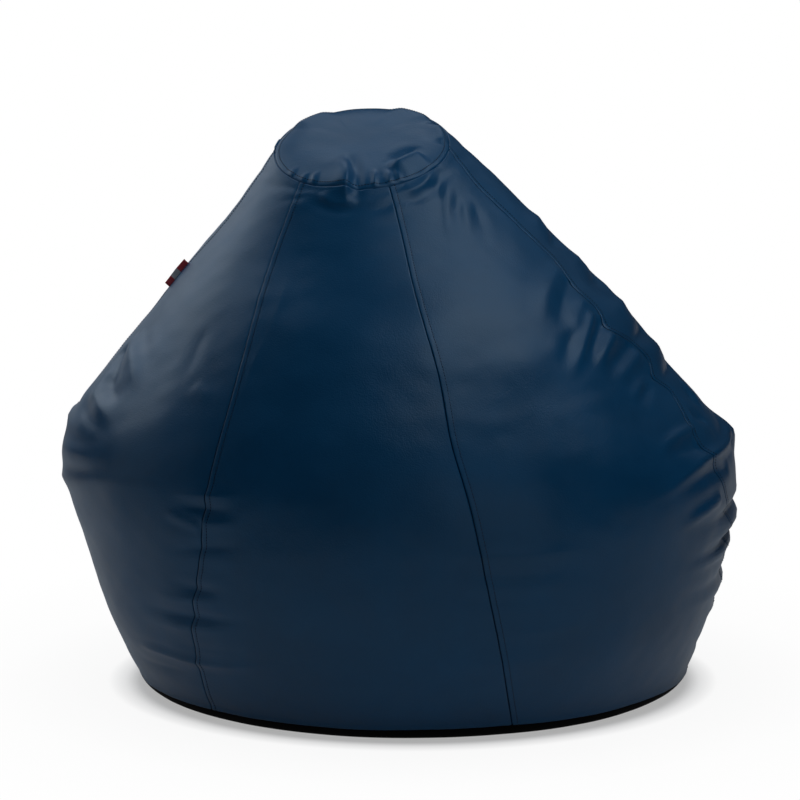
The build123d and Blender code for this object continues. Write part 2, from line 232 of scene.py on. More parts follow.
# Section of a fold: the power of its ridge, the depth of the dip beside it as a share of its rise, and the
# dip's place and the fold's reach in half widths. Then the steps between two of its points and its least fade.
RIDGE_POWER = 1.6
DIP_DEEP = 0.15
DIP_PLACE = 2.2
FOLD_REACH = 4
FOLD_STEPS = 8
LEAST_FADE = 1e-3

# Random puckers across the seams on the far side: seam, lowest and highest place, number and seed
SEAM_PUCKERS = ((2, 70, 140, 3, 11), (3, 70, 420, 12, 12), (4, 70, 420, 12, 13), (5, 70, 260, 7, 14))

# Ranges that they are drawn from: place, reach to each side, tilt, bow, rise and half width
PUCKER_STRAY = 9
PUCKER_REACH = (5, 15)
PUCKER_TILT = 0.9
PUCKER_BOW = 5
PUCKER_RISE = (2, 4.5)
PUCKER_WIDE = (5.5, 9)

# The cover's settling on the beads, simulated on a cage that skips rows and columns of the skin
CAGE_STEPS = (2, 3)
SETTLE_FRAMES = 16
SETTLE_MOST = 4.0
SETTLE_FINE = 1
SETTLE_SLOW = 7
RIM_ROWS = 4
BEAD_GRIP = 0.13
COVER_CLOTH = {
    "quality": 5,
    "mass": 0.1,
    "tension_stiffness": 40,
    "compression_stiffness": 40,
    "shear_stiffness": 10,
    "bending_stiffness": 0.3,
    "air_damping": 1,
    "use_pressure": True,
    "uniform_pressure_force": 2,
    "vertex_group_mass": "held",
}

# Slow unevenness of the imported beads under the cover: height and length of the waves, and their seed
BEAD_WAVES = ((1.3, 230, 3), (0.5, 95, 5), (0.14, 34, 8))
WAVES_EACH = 14
WAVE_SPREAD = (0.75, 1.35)

# Sewing: run of the lapped edge, width of a topstitch row's pull, and the share of a thread that stands proud
LAP_RUN = 2
PULL_WIDE = 1.6
THREAD_PROUD = 0.25

# Row, counted from an edge, whose normals set the way in which the edge is turned in, and the distance
# within which points are joined
EDGE_ROW = 3
SAME_PLACE = 0.02 * MM

# The cover and the layers inside it: thicknesses, insets, how far a layer looks for valleys of the cover,
# and how many grid steps it skips
COVER_T = 1.2
LINER_IN = 6.0
LINER_T = 0.5
FILL_IN = 9.0
VALLEY_REACH = (2, 2)
VALLEY_SOFT = 2
BEADS_PER_METRE = 260.0
INNER_STRIDE = 4

# Rings of a layer over the base, and the smallest one's share
INNER_RINGS = 40
INNER_HUB = 0.03

# Halves of the base, before and behind the zip
BASE_HALVES = ((-1, "front"), (1, "back"))

# Base panel and the channel that keeps the zip off the floor
BASE_BEND_IN = 28
BASE_BEND_POWER = 2.6
BASE_BEND_MOST = 0.5
BASE_T = 1.2
BASE_COLUMNS = 180
BASE_BEND_ROWS = 10
BASE_FLAT_ROWS = 26
BASE_FLAT_POWER = 1.6
CHANNEL_HIGH = 8.0
CHANNEL_TOP = (544, 36)
CHANNEL_MOUTH = (580, 72)
SLIT = (500, 16)
SLIT_STITCH_IN = 3.0
SLIT_STITCH_POINTS = 60

# Zip tapes: points along and across, height and length of their ripple, and their share of the CAD thickness
TAPE_POINTS = (131, 9)
TAPE_RIPPLE = (0.1, 9)
TAPE_THIN = 0.8

# Label sewn into the left back seam; its wave is how far it sways and over how many radians
LABEL_SEAM = 5
LABEL_HEIGHT = 563
LABEL_LONG = 46
LABEL_OUT = 8
LABEL_IN = 2
LABEL_HALF = 0.7
LABEL_LEAN = 0.25
LABEL_T = 0.35
LABEL_WAVE = (0.5, 5)
LABEL_ROWS = 24
LABEL_FOLD_POINTS = 9
LABEL_LEG_POINTS = 8
LABEL_BAND = (0.3, 0.62)


def to_unit(vectors):
    """The vectors scaled to length one."""
    return vectors / np.maximum(np.linalg.norm(vectors, axis=-1, keepdims=True), 1e-12)


def ease(x):
    """A smooth step from 0 to 1."""
    x = np.clip(x, 0, 1)
    return x * x * (3 - 2 * x)


def crowded(count):
    """Steps from 0 to 1 that lie closer together at both ends."""
    s = np.linspace(0, 1, count + 1)
    return s - (1 - CROWDING) * np.sin(2 * np.pi * s) / (2 * np.pi)


# The plain pear shape

RING_TABLE = np.array(KEY_RINGS, float)
RING_STEPS = Ring(*np.diff(RING_TABLE, axis=0).T)
RING_KNOTS = np.concatenate([[0], np.cumsum(np.hypot(RING_STEPS.z, RING_STEPS.wide))])
SIDE_LONG = RING_KNOTS[-1]


def spline_bends(knots, values):
    """Second derivatives of the natural cubic spline through the values at the knots."""
    gaps = np.diff(knots)
    slopes = np.diff(values, axis=0) / gaps[:, None]
    system = np.eye(len(knots))
    target = np.zeros_like(values)
    for i in range(1, len(knots) - 1):
        system[i, i - 1 : i + 2] = gaps[i - 1], 2 * (gaps[i - 1] + gaps[i]), gaps[i]
        target[i] = 6 * (slopes[i] - slopes[i - 1])
    return np.linalg.solve(system, target)


def spline_at(knots, values, bends, at):
    """The spline's values at places between its knots."""
    i = np.clip(np.searchsorted(knots, at, side="right") - 1, 0, len(knots) - 2)
    gap = knots[i + 1] - knots[i]
    up = ((at - knots[i]) / gap)[..., None]
    down = 1 - up
    bend = (down**3 - down) * bends[i] + (up**3 - up) * bends[i + 1]
    return down * values[i] + up * values[i + 1] + bend * gap[..., None] ** 2 / 6


RING_BENDS = spline_bends(RING_KNOTS, RING_TABLE)


def rings_at(way):
    """The ring at each distance up the side from the base seam, as a Ring of arrays."""
    found = spline_at(RING_KNOTS, RING_TABLE, RING_BENDS, np.clip(way, 0, SIDE_LONG))
    return Ring(*np.moveaxis(found, -1, 0))


def skin_points(way, angle):
    """Points on the plain skin. Way is the distance up from the base seam, going on over the cap."""
    ring = rings_at(way)
    draw = gore_draw(way, angle)
    inward = np.clip(way - SIDE_LONG, 0, None)
    share = np.clip(1 - inward / CAP_RING.wide, 0, 1)
    lift = DOME_HIGH * (1 - share**DOME_POWER)
    turn, nod, roll = np.radians(angle), np.radians(ring.nod), np.radians(ring.roll)
    across = ring.wide * draw * share * np.sin(turn)
    toward = -ring.deep * draw * share * np.cos(turn)
    over = across * np.sin(roll) + lift * np.cos(roll)
    side = across * np.cos(roll) - lift * np.sin(roll)
    x = ring.x + side
    y = ring.y + toward * np.cos(nod) - over * np.sin(nod)
    z = ring.z + toward * np.sin(nod) + over * np.cos(nod)
    return np.stack([x, y, z], axis=-1) * MM


HEIGHT_WAYS = np.linspace(0, SIDE_LONG, HEIGHT_SAMPLES)
HEIGHT_TABLE = rings_at(HEIGHT_WAYS).z


def way_at(height):
    """The distance up the skin at a ring height, going on inward past the cap seam."""
    return np.interp(height, HEIGHT_TABLE, HEIGHT_WAYS) + np.clip(np.asarray(height) - CAP_SEAM, 0, None)


def seam_angles(way):
    """Compass angles of the six seams at each distance up the skin, and the first again after a turn."""
    ring = rings_at(way)
    sway = np.interp(way, SWAY_WAYS, SWAY_ANGLES)
    front = [ring.left, ring.front, ring.right + sway]
    back = [np.full(np.shape(way), angle, float) for angle in BACK_SEAMS]
    return np.stack(front + back + [ring.left + 360], axis=-1)


def gore_draw(way, angle):
    """How far the gores draw in from the round ring toward straight lines between their seams."""
    seams = seam_angles(way)
    angle = (angle - seams[..., 0]) % 360 + seams[..., 0]
    gore = (angle[..., None] >= seams[..., 1:-1]).sum(-1)[..., None]
    left = np.take_along_axis(seams, gore, -1)[..., 0]
    right = np.take_along_axis(seams, gore + 1, -1)[..., 0]
    half = np.radians(right - left) / 2
    off = np.radians(angle - (left + right) / 2)
    flat = rings_at(way).flat * np.array(GORE_FLAT)[gore[..., 0]]
    return 1 - flat * (1 - np.cos(half) / np.cos(off))


SWAY_HEIGHTS, SWAY_DEGREES = np.array(RIGHT_SEAM_SWAY, float).T
SWAY_WAYS = np.linspace(0, SIDE_LONG, SWAY_SAMPLES)
SWAY_ANGLES = np.interp(SWAY_WAYS, way_at(SWAY_HEIGHTS), SWAY_DEGREES)
SWAY_ANGLES = np.pad(SWAY_ANGLES, len(SWAY_WINDOW) // 2 - 1, mode="edge")
SWAY_ANGLES = np.convolve(SWAY_ANGLES, SWAY_WINDOW[1:-1] / SWAY_WINDOW.sum(), "valid")


# Folds and unevenness

def grid_normals(points):
    """Outward normals of a grid that closes round its columns."""
    across = np.roll(points, -1, axis=1) - np.roll(points, 1, axis=1)
    up = np.gradient(points, axis=0)
    return to_unit(np.cross(across, up))


def fold_line(points):
    """A smooth line through a fold's points on the plain skin."""
    angle, height = np.array(points, float).T
    places = np.stack([angle, way_at(height)], axis=-1)
    steps = np.linalg.norm(np.diff(skin_points(places[:, 1], angle), axis=0), axis=1)
    knots = np.concatenate([[0], np.cumsum(steps)])
    at = np.linspace(0, knots[-1], FOLD_STEPS * len(steps) + 1)
    angle, way = spline_at(knots, places, spline_bends(knots, places), at).T
    return skin_points(way, angle)


def fold_heights(skin, normals, fold):
    """How far a fold lifts each point of the skin, in metres."""
    line = fold_line(fold.points)
    lengths = np.linalg.norm(np.diff(line, axis=0), axis=1)
    whole = lengths.sum()
    wide = fold.wide * MM
    reach = FOLD_REACH * wide
    near = np.all((skin > line.min(0) - reach) & (skin < line.max(0) + reach), axis=-1)
    spots, out = skin[near], normals[near]
    best = np.full(len(spots), np.inf)
    side = np.zeros(len(spots))
    along = np.zeros(len(spots))
    done = 0.0
    for start, end, length in zip(line[:-1], line[1:], lengths):
        run = (end - start) / length
        t = np.clip((spots - start) @ run, 0, length)
        away = spots - start - t[:, None] * run
        gap = np.linalg.norm(away, axis=1)
        closer = gap < best
        best = np.where(closer, gap, best)
        side = np.where(closer, np.sign((np.cross(out, run) * away).sum(1)), side)
        along = np.where(closer, (done + t) / whole, along)
        done += length
    narrow = wide * np.where(side > 0, 1 - fold.steep, 1)
    ridge = np.exp(-((best / narrow) ** RIDGE_POWER))
    dip = DIP_DEEP * np.exp(-(((best - DIP_PLACE * narrow) / narrow) ** 2))
    first_fade, last_fade = np.maximum(fold.fade, LEAST_FADE)
    ends = ease(along / first_fade) * ease((1 - along) / last_fade)
    heights = np.zeros(skin.shape[:-1])
    heights[near] = fold.rise * MM * ends * (ridge - dip)
    return heights


def seam_puckers(seam, low, high, count, seed):
    """Folds of random size across a stretch of one seam, from a fixed seed."""
    draw = np.random.default_rng(seed)
    folds = []
    for height in np.linspace(low, high, count):
        height += draw.uniform(-PUCKER_STRAY, PUCKER_STRAY)
        middle = float(seam_angles(way_at(height))[seam])
        left, right = draw.uniform(*PUCKER_REACH, 2)
        tilt = draw.uniform(-PUCKER_TILT, PUCKER_TILT)
        bow = draw.uniform(-PUCKER_BOW, PUCKER_BOW)
        rise = draw.choice((-1, 1)) * draw.uniform(*PUCKER_RISE)
        points = (
            (middle - left, height - tilt * left),
            (middle, height + bow),
            (middle + right, height + tilt * right),
        )
        folds.append(Fold(rise, draw.uniform(*PUCKER_WIDE), 0, (0.5, 0.5), points))
    return folds


def bead_waves(points):
    """Slow random waves over the skin, from a fixed seed, in metres."""
    total = np.zeros(points.shape[:-1])
    for height, length, seed in BEAD_WAVES:
        draw = np.random.default_rng(seed)
        for _ in range(WAVES_EACH):
            heading = to_unit(draw.normal(size=3)) * 2 * np.pi / (length * MM * draw.uniform(*WAVE_SPREAD))
            wave = np.sin(points @ heading + draw.uniform(0, 2 * np.pi))
            total += height * MM * wave / math.sqrt(WAVES_EACH)
    return total


def soften(field, reach):
    """A field blurred over a number of grid steps; its columns close on themselves."""
    steps = np.arange(-3 * reach, 3 * reach + 1)
    shares = np.exp(-((steps / reach) ** 2) / 2)
    shares /= shares.sum()
    padded = np.pad(field, ((3 * reach, 3 * reach), (0, 0)), mode="edge")
    rows = sum(share * padded[i : i + len(field)] for i, share in enumerate(shares))
    return sum(share * np.roll(rows, step, axis=1) for step, share in zip(steps, shares))


def valley_floor(lift):
    """A smooth depth that lies under every valley of the lift near it, and level under its ridges."""
    depth = np.minimum(lift, 0)
    for reach in VALLEY_REACH:
        padded = np.pad(depth, ((reach, reach), (0, 0)), mode="edge")
        depth = np.min([padded[i : i + len(depth)] for i in range(2 * reach + 1)], axis=0)
        depth = np.min([np.roll(depth, i, axis=1) for i in range(-reach, reach + 1)], axis=0)
    return soften(depth, VALLEY_SOFT)


def finer(field, times, axis):
    """A field that closes on itself along an axis, with more points there, on a cubic B-spline."""
    field = np.moveaxis(field, axis, 0)
    steps = np.arange(len(field) * times) / times
    low = steps.astype(int)
    part = (steps - low)[:, None]
    drawn = (1 - part) * field[low] + part * field[(low + 1) % len(field)]
    offsets = np.arange(1 - times, times)
    drawn = sum((times - abs(i)) / times**2 * np.roll(drawn, i, axis=0) for i in offsets)
    return np.moveaxis(drawn, 0, axis)


def cloth_cage(cage):
    """The cage as cloth under the pressure of the beads, held at its rims and lightly gripped between."""
    rows, columns = cage.shape[:2]
    faces = grid_faces(rows, columns, closed=True)
    piece = new_piece("cage", cage.reshape(-1, 3), faces, finish("cover"))
    held = piece.vertex_groups.new(name="held")
    for row in range(rows):
        weight = max(1 - min(row, rows - 1 - row) / RIM_ROWS, BEAD_GRIP)
        held.add(list(range(row * columns, (row + 1) * columns)), weight, "REPLACE")
    cloth = piece.modifiers.new("settle", "CLOTH")
    cloth.collision_settings.use_collision = False
    cloth.point_cache.frame_start, cloth.point_cache.frame_end = 1, SETTLE_FRAMES
    for name, value in COVER_CLOTH.items():
        setattr(cloth.settings, name, value)
    cloth.settings.effector_weights.gravity = 0
    return piece


def settled(points, normals):
    """How far each point of the sides moves along its normal as the cover settles, in metres."""
    down, across = CAGE_STEPS
    cage, out = points[::down, ::across], normals[::down, ::across]
    piece = cloth_cage(cage)
    scene = bpy.context.scene
    for number in range(1, SETTLE_FRAMES + 1):
        scene.frame_set(number)
    mesh = piece.evaluated_get(bpy.context.evaluated_depsgraph_get()).data
    spots = np.empty(cage.size, np.float32)
    mesh.vertices.foreach_get("co", spots)
    moved = ((spots.reshape(cage.shape) - cage) * out).sum(-1)
    bpy.data.meshes.remove(piece.data)
    scene.frame_set(1)
    rows = np.arange(len(moved))
    from_rim = np.minimum(rows, rows[::-1])
    moved = (soften(moved, SETTLE_FINE) - soften(moved, SETTLE_SLOW)) * ease(from_rim / RIM_ROWS)[:, None]
    most = SETTLE_MOST * MM
    return finer(finer(most * np.tanh(moved / most), across, 1), down, 0)[: len(points)]


Skin = namedtuple("Skin", "points normals inner angles ways side_rows columns")


@lru_cache(maxsize=1)
def bag_skin():
    """The whole skin of the filled bag, from the base seam to the middle of the cap."""
    sewing = bpy.context.scene.bean_bag_sewing
    side_ways = SIDE_LONG * crowded(SIDE_ROWS)
    cap_ways = SIDE_LONG + CAP_RING.wide * (1 - CAP_HUB) * np.linspace(0, 1, CAP_ROWS + 1)[1:]
    ways = np.concatenate([side_ways, cap_ways])
    seams = seam_angles(ways)
    share = crowded(GORE_COLUMNS)[:-1]
    gores = [seams[:, k, None] + (seams[:, k + 1] - seams[:, k])[:, None] * share for k in range(len(PANELS))]
    angles = np.concatenate(gores, axis=1)
    plain = skin_points(np.repeat(ways[:, None], angles.shape[1], axis=1), angles)
    plain_normals = grid_normals(plain)
    between = np.tile(share, len(PANELS))
    crown = sewing.crown * (1 - (2 * between - 1) ** 2)
    from_ends = np.minimum(ways, SIDE_LONG - ways).clip(0, None) / CROWN_RUN
    lift = crown[None, :] * ease(from_ends)[:, None]
    puckers = [fold for group in SEAM_PUCKERS for fold in seam_puckers(*group)]
    on_cap = ease((ways - SIDE_LONG) / CAP_EDGE)[:, None]
    for fold in (*FOLDS, *puckers):
        heights = fold_heights(plain, plain_normals, fold)
        if min(fold.points[0][1], fold.points[-1][1]) > CAP_SEAM:
            heights = heights * on_cap
        lift = lift + heights
    lift = lift + bead_waves(plain)
    points = plain + plain_normals * lift[..., None]
    inner = plain + plain_normals * valley_floor(lift)[..., None]
    sides = slice(0, len(side_ways))
    normals = grid_normals(points)
    points[sides] += normals[sides] * settled(points[sides], normals[sides])[..., None]
    points[..., 2] = np.maximum(points[..., 2], BASE_RING.z * MM * SEAM_LOWEST)
    normals = grid_normals(points)
    return Skin(points, normals, inner, angles, ways, len(side_ways), angles.shape[1])


# Meshes

def new_piece(name, vertices, faces, material, smooth=True):
    """A mesh object at the origin, in the scene."""
    mesh = bpy.data.meshes.new(name)
    mesh.from_pydata([tuple(v) for v in vertices], [], [tuple(f) for f in faces])
    mesh.materials.append(material)
    if smooth:
        mesh.polygons.foreach_set("use_smooth", np.ones(len(mesh.polygons), bool))
    mesh.update()
    piece = bpy.data.objects.new(name, mesh)
    bpy.context.scene.collection.objects.link(piece)
    return piece


def grid_faces(rows, columns, closed=False):
    """Faces over a grid of rows and columns of points, counted row by row."""
    i = np.arange(rows - 1)[:, None]
    j = np.arange(columns if closed else columns - 1)[None, :]
    after = (j + 1) % columns
    corners = (i * columns + j, i * columns + after, (i + 1) * columns + after, (i + 1) * columns + j)
    return np.stack([np.broadcast_to(c, (rows - 1, j.shape[1])) for c in corners], axis=-1).reshape(-1, 4)


def add_thickness(piece, thick):
    """Gives a sheet its thickness, on the inside."""
    wall = piece.modifiers.new("thickness", "SOLIDIFY")
    wall.thickness = thick
    wall.offset = -1
    wall.use_even_offset = False


def merge_doubles(piece):
    """Joins points that lie on each other, and drops the faces that they leave empty."""
    mesh = bmesh.new()
    mesh.from_mesh(piece.data)
    bmesh.ops.remove_doubles(mesh, verts=mesh.verts, dist=SAME_PLACE)
    bmesh.ops.dissolve_degenerate(mesh, edges=mesh.edges, dist=SAME_PLACE)
    mesh.to_mesh(piece.data)
    mesh.free()


def attach(piece, slot, *nodes):
    """The piece rides on the bag and stands for its CAD nodes, which are hidden; the slot is not used."""
    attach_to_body(piece, BAG)
    if nodes:
        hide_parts(*nodes)


def sheet_piece(name, grid, look, thick, slot, node, from_below=False):
    """A grid of points as a sheet of cloth on the bag, in place of its CAD node."""
    faces = grid_faces(*grid.shape[:2])
    piece = new_piece(name, grid.reshape(-1, 3), faces[:, ::-1] if from_below else faces, finish(look))
    add_thickness(piece, thick)
    attach(piece, slot, node)
    return piece


def disc_piece(name, grid, look, thick, slot, node):
    """A closed grid and the fan in its middle as a sheet of cloth on the bag, in place of its CAD node."""
    piece = new_piece(name, *disc(grid, grid[-1].mean(0)), finish(look))
    add_thickness(piece, thick)
    attach(piece, slot, node)
    return piece


def add_values(piece, name, values):
    """Gives a piece one number at each point, for its finish."""
    piece.data.attributes.new(name, "FLOAT", "POINT").data.foreach_set("value", values.ravel())


def points_at(at, places, points, period=None):
    """Points between those that stand at some places along a line."""
    return np.stack([np.interp(at, places, points[:, axis], period=period) for axis in range(3)], axis=-1)


def row_distance(points):
    """Distance along each row from its first point."""
    steps = np.linalg.norm(np.diff(points, axis=1), axis=-1)
    return np.concatenate([np.zeros((len(points), 1)), np.cumsum(steps, axis=1)], axis=1)


def panel_grid(k):
    """Points and normals of one gore, from its left seam to its right one."""
    skin = bag_skin()
    columns = np.arange(k * GORE_COLUMNS, (k + 1) * GORE_COLUMNS + 1) % skin.columns
    at = np.concatenate([SEAM_STEPS, np.arange(1, GORE_COLUMNS), GORE_COLUMNS - SEAM_STEPS[::-1]])
    low = np.minimum(at.astype(int), GORE_COLUMNS - 1)
    part = (at - low)[:, None]
    found = []
    for values in (skin.points, skin.normals):
        values = values[: skin.side_rows, columns]
        found.append(values[:, low] * (1 - part) + values[:, low + 1] * part)
    return found


def inner_grid(inset, first, count, rows):
    """A coarser copy of some gores of the skin, moved inward."""
    skin = bag_skin()
    columns = np.arange(first * GORE_COLUMNS, (first + count) * GORE_COLUMNS + 1, INNER_STRIDE)
    rows = np.unique(np.append(np.arange(rows.start, rows.stop, INNER_STRIDE), rows.stop - 1))
    pick = np.ix_(rows, columns % skin.columns)
    return skin.inner[pick] - skin.normals[pick] * inset * MM


def disc(grid, centre):
    """Vertices and faces of a closed grid and the fan that joins its last row to a point."""
    rows, columns = grid.shape[:2]
    last = (rows - 1) * columns
    faces = [tuple(f) for f in grid_faces(rows, columns, closed=True)]
    faces += [(last + j, last + (j + 1) % columns, rows * columns) for j in range(columns)]
    return np.concatenate([grid.reshape(-1, 3), np.reshape(centre, (1, 3))]), faces


def slot_distance(x, y, long, wide):
    """Distance from the middle line of a slot that lies along the zip."""
    beyond = np.clip(np.abs(x - BASE_RING.x * MM) - (long - wide) / 2 * MM, 0, None)
    return np.hypot(beyond, y - BASE_RING.y * MM)


def base_height(x, y, edge):
    """Height of the base panel over the floor: bent up at its edge and let in along the zip."""
    inset = edge - np.hypot(x - BASE_RING.x * MM, y - BASE_RING.y * MM)
    bend = BASE_RING.z * np.clip(1 - inset / (BASE_BEND_IN * MM), 0, 1) ** BASE_BEND_POWER
    roof, mouth = CHANNEL_TOP[1] / 2 * MM, CHANNEL_MOUTH[1] / 2 * MM
    channel = CHANNEL_HIGH * ease((mouth - slot_distance(x, y, *CHANNEL_TOP)) / (mouth - roof))
    return np.maximum(bend, channel) * MM


def rim_at(angle):
    """Points of the base seam at compass angles."""
    skin = bag_skin()
    return points_at(angle, skin.angles[0], skin.points[0], period=360)


def base_half(side):
    """Grid of the front (-1) or back (+1) half of the base, from the base seam to the zip."""
    middle = 0 if side < 0 else 180
    rim = rim_at(np.linspace(middle - 90, middle + 90, BASE_COLUMNS + 1))
    edge = np.hypot(rim[:, 0] - BASE_RING.x * MM, rim[:, 1] - BASE_RING.y * MM)
    half_slit = SLIT[1] / 2
    past = np.clip(np.abs(rim[:, 0] / MM - BASE_RING.x) - (SLIT[0] - SLIT[1]) / 2, 0, half_slit)
    zip_y = (BASE_RING.y + side * np.sqrt(half_slit**2 - past**2)) * MM
    run = np.maximum(side * (rim[:, 1] - zip_y), 0)
    bent = np.minimum(BASE_BEND_IN * MM / np.maximum(run, 1e-9), BASE_BEND_MOST)
    flat = 1 - (1 - np.linspace(0, 1, BASE_FLAT_ROWS + 1)[1:]) ** BASE_FLAT_POWER
    share = np.concatenate([
        bent * np.linspace(0, 1, BASE_BEND_ROWS + 1)[:, None],
        bent + (1 - bent) * flat[:, None],
    ])
    y = rim[:, 1] - side * run * share
    x = np.broadcast_to(rim[:, 0], y.shape)
    z = base_height(x, y, edge)
    z[0] = rim[:, 2]
    return np.stack([x, y, z], axis=-1)


def seam_spots(k, start, end, count):
    """Points, outward directions and sideways directions along a stretch of one seam."""
    skin = bag_skin()
    column = k * GORE_COLUMNS
    at = np.linspace(start, end, count)
    rows = skin.ways[: skin.side_rows]
    sides = to_unit(skin.points[:, column + 1] - skin.points[:, column - 1])
    found = []
    for values in (skin.points[:, column], skin.normals[:, column], sides):
        found.append(points_at(at, rows, values[: skin.side_rows]))
    return found[0], to_unit(found[1]), to_unit(found[2])


def floor_grid(inset):
    """The skin's base seam and rings inside it over the base, moved up from the floor by inset."""
    rim = inner_grid(inset, 0, len(PANELS), range(0, 1))[0, :-1]
    middle = np.array([BASE_RING.x, BASE_RING.y, 0]) * MM
    edge = np.hypot(*(rim - middle)[:, :2].T)
    rings = []
    for share in np.linspace(1, INNER_HUB, INNER_RINGS):
        ring = middle + (rim - middle) * share
        ring[:, 2] = np.maximum(base_height(ring[:, 0], ring[:, 1], edge), 0) + inset * MM
        rings.append(ring)
    rings[0][:, 2] = rim[:, 2]
    return np.array(rings)


def paint_node(node, material):
    """Gives a CAD node its finish."""
    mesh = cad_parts[node].data
    mesh.materials.clear()
    mesh.materials.append(material)


# Sewing

def edge_relief(away, sewing):
    """The lapped edge beside a seam and the pull of its topstitch row, at distances from the seam."""
    lap = sewing.lap * ease((sewing.topstitch_in - away) / (LAP_RUN * MM) + 0.5)
    pull = -sewing.stitch_pull * np.exp(-(((away - sewing.topstitch_in) / (PULL_WIDE * MM)) ** 2))
    return lap + pull


def at_distance(distance, away, values):
    """Each row's value where the distance along it has been reached."""
    return np.array([points_at(distance, row_away, row) for row_away, row in zip(away, values)])


def sewn_panel(k, sewing):
    """One gore with its seam grooves, lapped edge and turned-in allowances; also its topstitch row."""
    points, normals = panel_grid(k)
    from_left = row_distance(points)
    from_right = from_left[:, -1:] - from_left
    groove = -sewing.groove_depth * (
        np.exp(-from_left / sewing.groove_wide) + np.exp(-from_right / sewing.groove_wide)
    )
    points = points + normals * (groove + edge_relief(from_left, sewing))[..., None]
    row = at_distance(sewing.topstitch_in, from_left, points)
    row_out = at_distance(sewing.topstitch_in, from_left, normals)
    flap = sewing.allowance
    left = points[:, :1] - normals[:, :1] * flap
    right = points[:, -1:] - normals[:, -1:] * flap
    row = row + to_unit(row_out) * sewing.thread * THREAD_PROUD
    return np.concatenate([left, points, right], axis=1), row


def panel_turned_in(points, sewing):
    """Adds the turned-in edges at the base and cap seams to a gore."""
    normals = to_unit(np.cross(np.gradient(points, axis=1), np.gradient(points, axis=0)))
    low = points[:1] - normals[EDGE_ROW : EDGE_ROW + 1] * sewing.allowance
    top = points[-1:] - normals[-EDGE_ROW - 1 : -EDGE_ROW] * sewing.allowance
    return np.concatenate([low, points, top], axis=0)


def cap_grid(sewing):
    """Grid of the cap with its seam groove and lapped edge, its normals, and distances from the seam."""
    skin = bag_skin()
    grid = skin.points[skin.side_rows - 1 :]
    normals = skin.normals[skin.side_rows - 1 :].copy()
    normals[0] = normals[1]
    inward = np.linalg.norm(grid - grid[:1], axis=-1)
    groove = -sewing.groove_depth * np.exp(-inward / sewing.groove_wide)
    return grid + normals * (groove + edge_relief(inward, sewing))[..., None], normals, inward


def cap_row(sewing):
    """The topstitch row inside the cap's edge."""
    grid, normals, inward = cap_grid(sewing)
    row = at_distance(sewing.topstitch_in, inward.T, np.swapaxes(grid, 0, 1))
    return row + normals[EDGE_ROW] * sewing.thread * THREAD_PROUD


def zip_row(side, sewing):
    """The topstitch row along one side of the zip, under the base."""
    x = BASE_RING.x + np.linspace(-0.5, 0.5, SLIT_STITCH_POINTS) * (SLIT[0] - SLIT[1])
    y = np.full(len(x), BASE_RING.y + side * (SLIT[1] / 2 + SLIT_STITCH_IN))
    z = np.full(len(x), CHANNEL_HIGH - sewing.thread / MM * THREAD_PROUD)
    return np.stack([x, y, z], axis=-1) * MM


@lru_cache(maxsize=1)
def stitch_tree():
    """Geometry nodes that lay short stitches along a line."""
    tree = bpy.data.node_groups.new("stitch_row", "GeometryNodeTree")
    tree.interface.new_socket("Geometry", in_out="INPUT", socket_type="NodeSocketGeometry")
    for label in ("Pitch", "Length", "Thread"):
        tree.interface.new_socket(label, in_out="INPUT", socket_type="NodeSocketFloat")
    tree.interface.new_socket("Geometry", in_out="OUTPUT", socket_type="NodeSocketGeometry")
    given, made = tree.nodes.new("NodeGroupInput"), tree.nodes.new("NodeGroupOutput")
    line = tree.nodes.new("GeometryNodeMeshToCurve")
    spots = tree.nodes.new("GeometryNodeCurveToPoints")
    spots.mode = "LENGTH"
    bead = set_inputs(tree.nodes.new("GeometryNodeMeshUVSphere"), Segments=6, Rings=4, Radius=0.5)
    size = tree.nodes.new("ShaderNodeCombineXYZ")
    shape = tree.nodes.new("GeometryNodeTransform")
    turn = tree.nodes.new("FunctionNodeAlignRotationToVector")
    turn.axis = "X"
    place = tree.nodes.new("GeometryNodeInstanceOnPoints")
    whole = tree.nodes.new("GeometryNodeRealizeInstances")
    smooth = tree.nodes.new("GeometryNodeSetShadeSmooth")
    paint = set_inputs(tree.nodes.new("GeometryNodeSetMaterial"), Material=finish("thread"))
    for start, end in (
        (given.outputs["Geometry"], line.inputs["Mesh"]),
        (line.outputs["Curve"], spots.inputs["Curve"]),
        (given.outputs["Pitch"], spots.inputs["Length"]),
        (given.outputs["Length"], size.inputs["X"]),
        (given.outputs["Thread"], size.inputs["Y"]),
        (given.outputs["Thread"], size.inputs["Z"]),
        (bead.outputs["Mesh"], shape.inputs["Geometry"]),
        (size.outputs["Vector"], shape.inputs["Scale"]),
        (spots.outputs["Tangent"], turn.inputs["Vector"]),
        (spots.outputs["Points"], place.inputs["Points"]),
        (shape.outputs["Geometry"], place.inputs["Instance"]),
        (turn.outputs["Rotation"], place.inputs["Rotation"]),
        (place.outputs["Instances"], whole.inputs["Geometry"]),
        (whole.outputs["Geometry"], smooth.inputs["Geometry"]),
        (smooth.outputs["Geometry"], paint.inputs["Geometry"]),
        (paint.outputs["Geometry"], made.inputs["Geometry"]),
    ):
        tree.links.new(start, end)
    return tree


